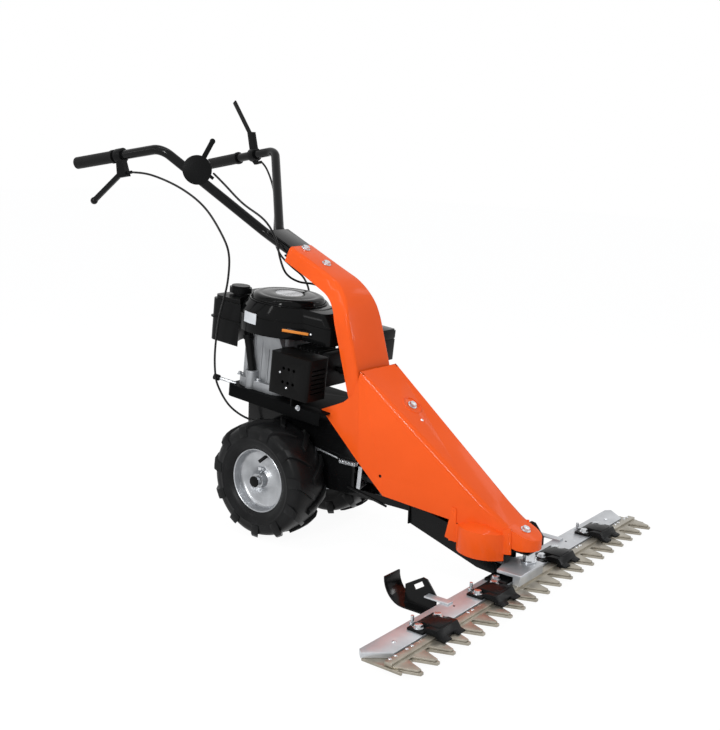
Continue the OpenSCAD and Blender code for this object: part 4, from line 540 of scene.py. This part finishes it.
# %% [markdown]
# Round heads
#
# Rivets hold the knife's blades, and screws the plates and the heat guard. A lathe profile would do, but
# half a sphere is quicker: it is cut by a plane through its middle and flattened. The same shape serves
# as every rivet, screw and spot weld, in other sizes.

# %% Rivets and screws
TOOTH_PITCH = 0.061
RIVETED_TEETH, RIVET_STEPS = (4, 8, 9), (-0.010, 0.010)
KNIFE_Y, KNIFE_TOP = -0.6602, 0.038
PLATE_SCREW = [((-0.5242, -0.6237, 0.040), UP)]
PLATE_PIN = [((-0.2812, -0.6201, 0.040), UP)]
GUARD_SCREWS = ((-0.150, 0.0437, 0.4697), (-0.150, 0.0212, 0.4294))
COVER_RIVET, COVER_WAY = (-0.0114, -0.328, 0.380), (0, -0.5959, 0.803)

def round_head(radius, height):
    bpy.ops.mesh.primitive_uv_sphere_add(segments=24, ring_count=12, radius=radius)
    open_edit()
    bpy.ops.mesh.bisect(plane_co=(0, 0, 0), plane_no=UP, clear_inner=True, use_fill=True)
    bpy.ops.mesh.select_all(action="SELECT")
    bpy.ops.transform.resize(value=(1, 1, height / radius), center_override=(0, 0, 0))
    close_edit(angle=60)

rivet_x = [side * (tooth + 0.5) * TOOTH_PITCH + step
           for side in (-1, 1) for tooth in RIVETED_TEETH for step in RIVET_STEPS]
round_head(radius=0.0042, height=0.0016)
set_down("knife_rivets", [standing((x, KNIFE_Y, KNIFE_TOP)) for x in rivet_x],
         zinc_plate, "knife", "zinc_steel")
round_head(radius=0.0055, height=0.0028)
set_down("plate_screws", both_sides(PLATE_SCREW), *FRAME_ZINC)
round_head(radius=0.003, height=0.0012)
set_down("plate_pins", both_sides(PLATE_PIN), black_paint, "frame", "black_paint")
round_head(radius=0.0034, height=0.0020)
set_down("heat_guard_screws", [standing(p, (-1, 0, 0)) for p in GUARD_SCREWS], *FRAME_ZINC)
round_head(radius=0.0045, height=0.0022)
set_down("cover_rivet", [standing(COVER_RIVET, COVER_WAY)], *FRAME_ZINC)

# %% [markdown]
# Weld flanges of the rounded guards
#
# Each guard ends in two flat flanges that lie on the cover's wall. They are thin plates with broken
# edges. Turning a finished plate to the wall would need its angle twice, so the plate's corners are laid
# on the sloping wall first and then get their thickness. Spot welding leaves small dimples on them.

# %% Flanges and their welds
FLANGE_THICK, FLANGE_EDGE = 0.0024, 0.0006
REAR_OUT, FRONT_OUT = (-0.9975, -0.0707, 0), (-0.9932, -0.1167, 0)
REAR_WELDS = ((-0.0615, -0.4690, 0.1800), (-0.0615, -0.4675, 0.1690), (-0.0615, -0.4660, 0.1580))
FRONT_WELDS = ((-0.0469, -0.6220, 0.1535), (-0.0469, -0.6220, 0.1420))

def flange(name, corners, wall_x, wall_y, slope):
    """A plate on the cover's wall: corners in y and z, a point of the wall, and its slope."""
    bpy.ops.mesh.primitive_plane_add(size=1)
    plate = bpy.context.object
    for v, (y, z) in zip(plate.data.vertices, corners):
        v.co = (wall_x + slope * (y - wall_y), y, z)
    thick = plate.modifiers.new("thickness", "SOLIDIFY")
    thick.thickness = FLANGE_THICK
    thick.offset = 0
    bpy.ops.object.modifier_apply(modifier=thick.name)
    open_edit()
    bpy.ops.mesh.bevel(offset=FLANGE_EDGE, segments=2, affect="EDGES")
    close_edit()
    set_down(name, [Matrix.Diagonal((side, 1, 1, 1)) for side in (1, -1)], *FRAME_ORANGE)

flange("guard_flange_rear",
       ((-0.4780, 0.0965), (-0.4475, 0.1045), (-0.4780, 0.1850), (-0.4645, 0.1880)),
       wall_x=-0.0606, wall_y=-0.4646, slope=-0.0709)
flange("guard_flange_front",
       ((-0.6316, 0.0985), (-0.6030, 0.0945), (-0.6280, 0.1660), (-0.6060, 0.1600)),
       wall_x=-0.0459, wall_y=-0.6205, slope=-0.1175)
round_head(radius=0.0026, height=0.0008)
welds = [(p, REAR_OUT) for p in REAR_WELDS] + [(p, FRONT_OUT) for p in FRONT_WELDS]
set_down("spot_welds", both_sides(welds), *FRAME_ORANGE)

# %% [markdown]
# Strip and plate on the blower housing
#
# An amber strip with a screw at its end sits on a black pad of the housing. Both are blocks with bevelled
# edges, turned so that one axis runs along the strip and another looks out from the wall. The small
# bare plate follows the round wall, so it is a band of an open cylinder, cut to length by two planes
# through the axis and thickened.

# %% Pad, strip, screw and plate
STRIP_MIDDLE = Vector((-0.0899, 0.0383, 0.5709))
STRIP_ALONG, STRIP_OUT = Vector((0.0427, -0.0706, -0.0092)).normalized(), Vector((-0.856, -0.518, 0))
PAD_SIZE, PAD_EDGE, PAD_DEPTH = (0.093, 0.0150, 0.0240), 0.0025, 0.0120
STRIP_SIZE, STRIP_EDGE, STRIP_BACK, STRIP_PROUD = (0.073, 0.0075, 0.0024), 0.0006, 0.005, 0.0004
SCREW_AHEAD = 0.038
strip_face = (STRIP_OUT - STRIP_ALONG * STRIP_OUT.dot(STRIP_ALONG)).normalized()
strip_turn = Matrix((STRIP_ALONG, strip_face.cross(STRIP_ALONG), strip_face)).transposed().to_4x4()
pale_plate = finish("bare_pale_plate", *tones_of(0.55, 0.66, COOL),
                    rough=0.30, fine=900, dimple=0.04, metal=0.2)
amber_paint = finish("amber_strip", (0.66, 0.20, 0.022), (0.74, 0.25, 0.030),
                     rough=0.35, fine=900, dimple=0.03, spec=0.3)

def plank(name, size, edge, middle, finish_used, body, slot):
    bpy.ops.mesh.primitive_cube_add(size=1)
    open_edit()
    bpy.ops.transform.resize(value=size, center_override=(0, 0, 0))
    bpy.ops.mesh.bevel(offset=edge, segments=3, affect="EDGES")
    close_edit()
    set_down(name, [Matrix.Translation(middle) @ strip_turn], finish_used, body, slot)

def wall_band(radius, start, end, low, high, thick):
    """A piece of a round wall between two angles, in degrees, and two heights."""
    bpy.ops.mesh.primitive_cylinder_add(vertices=180, radius=radius, depth=high - low,
                                        end_fill_type="NOTHING")
    open_edit()
    bpy.ops.transform.translate(value=(0, 0, (low + high) / 2))
    for angle, keep_after in ((start, True), (end, False)):
        a = math.radians(angle)
        bpy.ops.mesh.select_all(action="SELECT")
        bpy.ops.mesh.bisect(plane_co=(0, 0, 0), plane_no=(-math.sin(a), math.cos(a), 0),
                            clear_inner=keep_after, clear_outer=not keep_after)
    bpy.ops.object.mode_set(mode="OBJECT")
    shell = bpy.context.object.modifiers.new("thickness", "SOLIDIFY")
    shell.thickness = thick
    shell.offset = 1
    bpy.ops.object.modifier_apply(modifier=shell.name)
    bpy.ops.object.shade_smooth_by_angle(angle=math.radians(30))

plank("strip_pad", PAD_SIZE, PAD_EDGE, STRIP_MIDDLE - PAD_DEPTH * STRIP_OUT, *HOUSING_BLACK)
plank("amber_strip", STRIP_SIZE, STRIP_EDGE,
      STRIP_MIDDLE - STRIP_BACK * STRIP_ALONG + STRIP_PROUD * strip_face,
      amber_paint, "frame", "orange_paint")
round_head(radius=0.0036, height=0.0022)
set_down("strip_screw", [standing(STRIP_MIDDLE + SCREW_AHEAD * STRIP_ALONG, strip_face)], *FRAME_ZINC)
wall_band(radius=0.1362, start=161.5, end=182.5, low=0.1960, high=0.2260, thick=0.0010)
set_down("bare_plate", [ENGINE], pale_plate, "frame", "silver_paint")

# %% [markdown]
# Starter cover
#
# The starter cover is a stepped disc on top of the engine. Stacked cylinders would leave hard steps, so
# half of its section is spun about the engine's axis: one point is extruded from place to place, which
# draws the section, and Spin turns it round. The numbers are radii and heights.

# %% Spun starter cover
SPIN_MERGE = 0.00001
COVER_STEPS = 96

def chain(points):
    """Draw a section as one point that is extruded from place to place."""
    bpy.ops.mesh.primitive_plane_add(size=0.01)
    open_edit()
    bpy.ops.mesh.merge(type="CENTER")
    bpy.ops.transform.translate(value=points[0])
    for a, b in zip(points, points[1:]):
        step = tuple(q - p for p, q in zip(a, b))
        bpy.ops.mesh.extrude_region_move(TRANSFORM_OT_translate={"value": step})

def spun(points, axis, steps, angle=35):
    chain(points)
    bpy.ops.mesh.select_all(action="SELECT")
    bpy.ops.mesh.spin(steps=steps, angle=2 * math.pi, center=(0, 0, 0), axis=axis)
    bpy.ops.mesh.select_all(action="SELECT")
    bpy.ops.mesh.remove_doubles(threshold=SPIN_MERGE)
    bpy.ops.mesh.normals_make_consistent(inside=False)
    close_edit(angle)

starter_section = (
    (0, 0.2700), (0.0400, 0.2700), (0.0402, 0.2714), (0.0425, 0.2719), (0.0560, 0.2716),
    (0.0740, 0.2706), (0.0790, 0.2694), (0.0830, 0.2706), (0.0930, 0.2694), (0.0985, 0.2662),
    (0.1020, 0.2616), (0.1038, 0.2570), (0.1038, 0.2520), (0, 0.2520))
spun([(r, 0, z) for r, z in starter_section], UP, COVER_STEPS)
starter = set_down("starter_cover", [ENGINE], gloss_black, body_of_node["recoil"], slot_of_node["recoil"])
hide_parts("recoil")

# %% [markdown]
# Perforated insert
#
# The middle of the starter cover is a pale disc with rows of fine holes for air. Cutting some hundred
# holes would cost many faces for a surface of a few centimetres, so Voronoi cells without randomness
# draw them in the colour. The disc itself has a rolled edge.

# %% Insert of the starter cover
INSERT_R, INSERT_THICK, INSERT_Z = 0.0392, 0.0016, 0.2708
ROLLED_EDGE = 0.0005
HOLE_SIZE, HOLES_PER_METRE = 0.36, 260
INSERT_TONE, HOLE_TONE = (0.80, 0.80, 0.82), (0.10, 0.10, 0.10)
SHADED = 0.9

insert_grey = finish("perforated_insert", tuple(v * SHADED for v in INSERT_TONE), INSERT_TONE,
                     rough=0.40, fine=900, dimple=0.05, metal=0.5)
tree = insert_grey.node_tree
shader = tree.nodes["Principled BSDF"]
plain_tone = shader.inputs["Base Color"].links[0].from_socket
holes = tree.nodes.new("ShaderNodeTexVoronoi")
holes.inputs["Scale"].default_value = HOLES_PER_METRE
holes.inputs["Randomness"].default_value = 0.0
tree.links.new(tree.nodes.new("ShaderNodeTexCoord").outputs["Object"], holes.inputs["Vector"])
inside = tree.nodes.new("ShaderNodeMath")
inside.operation = "LESS_THAN"
inside.inputs[1].default_value = HOLE_SIZE
tree.links.new(holes.outputs["Distance"], inside.inputs[0])
mix = tree.nodes.new("ShaderNodeMix")
mix.data_type = "RGBA"
around_hole, in_hole = [i for i in mix.inputs if i.type == "RGBA"]
tree.links.new(inside.outputs[0], mix.inputs["Factor"])
tree.links.new(plain_tone, around_hole)
in_hole.default_value = (*HOLE_TONE, 1)
tree.links.new([o for o in mix.outputs if o.type == "RGBA"][0], shader.inputs["Base Color"])

bpy.ops.mesh.primitive_cylinder_add(vertices=96, radius=INSERT_R, depth=INSERT_THICK)
open_edit()
bpy.ops.transform.translate(value=(0, 0, INSERT_Z))
close_edit()
rolled = bpy.context.object.modifiers.new("rolled_edge", "BEVEL")
rolled.width = ROLLED_EDGE
rolled.segments = 2
bpy.ops.object.modifier_apply(modifier=rolled.name)
set_down("starter_insert", [ENGINE], insert_grey, "frame", "silver_paint")

# %% [markdown]
# Beads of the housing
#
# Two moulded beads stiffen the roof of the blower housing, one round the starter cover and one further
# down. A torus would be too round for a moulding, so a section with a flatter crown is spun instead.

# %% Two beads
BEAD_STEPS, BEAD_SIDES, BEAD_CROWN = 144, 12, 0.8

def bead(name, radius, thick, height):
    """A moulded bead, round below and a little flatter on top."""
    section = []
    for k in range(BEAD_SIDES + 1):
        a = 2 * math.pi * k / BEAD_SIDES
        crown = BEAD_CROWN if a < math.pi else 1
        section.append((radius + thick * math.cos(a), 0, height + thick * crown * math.sin(a)))
    spun(section, UP, BEAD_STEPS, angle=60)
    set_down(name, [ENGINE], *HOUSING_BLACK)

bead("housing_ridge", radius=0.1085, thick=0.0026, height=0.2535)
bead("housing_seam", radius=0.1258, thick=0.0020, height=0.2280)

# %% [markdown]
# Rims and carcasses
#
# The rim is pressed sheet with a deep dish and a hub, and the tyre's carcass is a round shell. Both are
# sections spun about the axle: the first number runs along X, from the wheel's middle to its outer
# side, and the second is the radius. The left wheel is the mirror image of the right one.

# %% Spun rims and carcasses
AXLE_Y, AXLE_Z, WHEEL_X = 0.083708, 0.165, 0.140
ALONG_AXLE = (1, 0, 0)
RIM_STEPS, CARCASS_STEPS = 96, 144
wheel_places = [Matrix.Translation((side * WHEEL_X, AXLE_Y, AXLE_Z)) @ Matrix.Diagonal((side, 1, 1, 1))
                for side in (-1, 1)]

def closed(section):
    """Points of a section in the wheel's plane, back to the first one."""
    return [(x, 0, r) for x, r in section + section[:1]]

rim_face = (
    (0.0500, 0.0890), (0.0508, 0.0880), (0.0508, 0.0866), (0.0495, 0.0852), (0.0440, 0.0842),
    (0.0300, 0.0822), (0.0245, 0.0795), (0.0215, 0.0745), (0.0195, 0.0660), (0.0190, 0.0500),
    (0.0200, 0.0400), (0.0225, 0.0330), (0.0265, 0.0270), (0.0300, 0.0215), (0.0400, 0.0205),
    (0.0495, 0.0200), (0.0500, 0.0185), (0.0500, 0.0102))
rim_back = (
    (-0.0500, 0.0102), (-0.0500, 0.0200), (0.0080, 0.0215), (0.0140, 0.0330), (0.0150, 0.0660),
    (0.0160, 0.0770), (-0.0100, 0.0800), (-0.0440, 0.0838), (-0.0495, 0.0848), (-0.0508, 0.0862),
    (-0.0508, 0.0880), (-0.0500, 0.0890))
spun(closed(rim_face + rim_back), ALONG_AXLE, RIM_STEPS)
rim = set_down("rim_dressed", wheel_places, rim_silver, "wheels", "silver_paint")
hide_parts("rims")

side_wall = (
    (0.0480, 0.0886), (0.0505, 0.0892), (0.0514, 0.0915), (0.0560, 0.0960), (0.0605, 0.1040),
    (0.0618, 0.1120), (0.0621, 0.1172), (0.0632, 0.1188), (0.0632, 0.1212), (0.0624, 0.1228),
    (0.0618, 0.1330), (0.0597, 0.1430), (0.0538, 0.1505), (0.0400, 0.1550), (0.0200, 0.1566),
    (0.0, 0.1570))
other_wall = tuple((-x, r) for x, r in reversed(side_wall[:-1]))
spun(closed(side_wall + other_wall), ALONG_AXLE, CARCASS_STEPS, angle=50)
tyre = set_down("tyre_carcass", wheel_places, tyre_rubber, "wheels", "tyre")
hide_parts("tyres")

# %% [markdown]
# Tyre bars
#
# A tyre for soft ground has slanted bars that wrap round the shoulder. A straight block would stand off
# the round carcass, so one small face is extruded outwards in steps that follow the crown and the
# shoulder, and then swept round the axle. Eleven copies go on each half of a tyre, the halves half a
# step apart. Each step gives a place along X, the lower and upper radius, and half the bar's width.

# %% Bars of both tyres
BARS_PER_HALF = 11
BAR_SWEEP = -5.1
WORN_EDGE = 0.0020
bar_steps = (
    (-0.002, 0.1500, 0.1648, 0.0080), (0.020, 0.1500, 0.1650, 0.0086), (0.040, 0.1470, 0.1641, 0.0096),
    (0.054, 0.1400, 0.1606, 0.0112), (0.0618, 0.1300, 0.1520, 0.0128), (0.0634, 0.1230, 0.1385, 0.0144))

bpy.ops.mesh.primitive_plane_add(size=1, rotation=(0, math.pi / 2, 0))
bpy.ops.object.transform_apply(location=True, rotation=True, scale=True)
open_edit()
x, low, high, half = bar_steps[0]
bpy.ops.transform.resize(value=(1, 2 * half, high - low), center_override=(0, 0, 0))
bpy.ops.transform.translate(value=(x, 0, (low + high) / 2))
for (x0, low0, high0, half0), (x1, low1, high1, half1) in zip(bar_steps, bar_steps[1:]):
    middle = (low1 + high1) / 2
    step = (x1 - x0, 0, middle - (low0 + high0) / 2)
    bpy.ops.mesh.extrude_region_move(TRANSFORM_OT_translate={"value": step})
    bpy.ops.transform.resize(value=(1, half1 / half0, (high1 - low1) / (high0 - low0)),
                             center_override=(x1, 0, middle))
bpy.ops.mesh.select_all(action="SELECT")
bpy.ops.mesh.normals_make_consistent(inside=False)
bpy.ops.object.mode_set(mode="OBJECT")
bar = bpy.context.object
for v in bar.data.vertices:
    v.co = Matrix.Rotation(BAR_SWEEP * v.co.x, 3, "X") @ v.co
worn = bar.modifiers.new("worn_edges", "BEVEL")
worn.width = WORN_EDGE
worn.segments = 3
bpy.ops.object.modifier_apply(modifier=worn.name)
bpy.ops.object.shade_smooth_by_angle(angle=math.radians(40))

bar_places = []
for wheel in wheel_places:
    for i in range(BARS_PER_HALF):
        outer = Matrix.Rotation(i * 2 * math.pi / BARS_PER_HALF, 4, "X")
        inner = Matrix.Rotation((i + 0.5) * 2 * math.pi / BARS_PER_HALF, 4, "X")
        bar_places += [wheel @ outer, wheel @ inner @ Matrix.Diagonal((-1, 1, 1, 1))]
set_down("tyre_bars", bar_places, tyre_rubber, "wheels", "tyre")

# %% [markdown]
# Pegs
#
# Each rim has a rubber valve stem that leans out towards the hub, and a black cap on the axle's end. A
# short bright rod with a black knob stands at the deck's rear corner, and the knife's drive bolt has a
# dark socket. All of them are pegs: cylinders with bevelled edges that stand on the origin.

# %% Valve stems, axle caps, knob and socket
STEM_FOOT, STEM_TIP = Vector((-0.162, 0.0766, 0.230)), Vector((-0.180, 0.0876, 0.2156))
AXLE_END = [((-0.200, 0.0837, 0.165), (-1, 0, 0))]
ROD_FOOT, KNOB = Vector((-0.104, 0.2487, 0.398)), Vector((-0.127, 0.2950, 0.4102))
KNOB_GRIP = 0.004
stem, rod = STEM_TIP - STEM_FOOT, KNOB - ROD_FOOT

def peg(radius, length, edge):
    bpy.ops.mesh.primitive_cylinder_add(vertices=32, radius=radius, depth=length)
    open_edit()
    bpy.ops.transform.translate(value=(0, 0, length / 2))
    bpy.ops.mesh.bevel(offset=edge, segments=3, affect="EDGES")
    close_edit(angle=40)

peg(radius=0.0048, length=stem.length, edge=0.0012)
set_down("valve_stems", both_sides([(STEM_FOOT, stem)]), tyre_rubber, "wheels", "tyre")
peg(radius=0.0155, length=0.004, edge=0.0012)
set_down("axle_caps", both_sides(AXLE_END), grain_black, "wheels", "black_plastic")
peg(radius=0.0045, length=rod.length, edge=0.0008)
set_down("knob_rod", [standing(ROD_FOOT, rod)], *FRAME_ZINC)
peg(radius=0.0085, length=0.020, edge=0.0030)
set_down("deck_knob", [standing(KNOB - KNOB_GRIP * rod.normalized(), rod)],
         grain_black, "frame", "black_plastic")
corners = [nodes["drive_bolt"].matrix_world @ Vector(c) for c in nodes["drive_bolt"].bound_box]
bolt_middle = sum(corners, Vector()) / len(corners)
bolt_top = Vector((bolt_middle.x, bolt_middle.y, max(c.z for c in corners)))
peg(radius=0.0075, length=0.0008, edge=0.0002)
set_down("drive_bolt_socket", [standing(bolt_top)], black_paint, "knife", "black_paint")
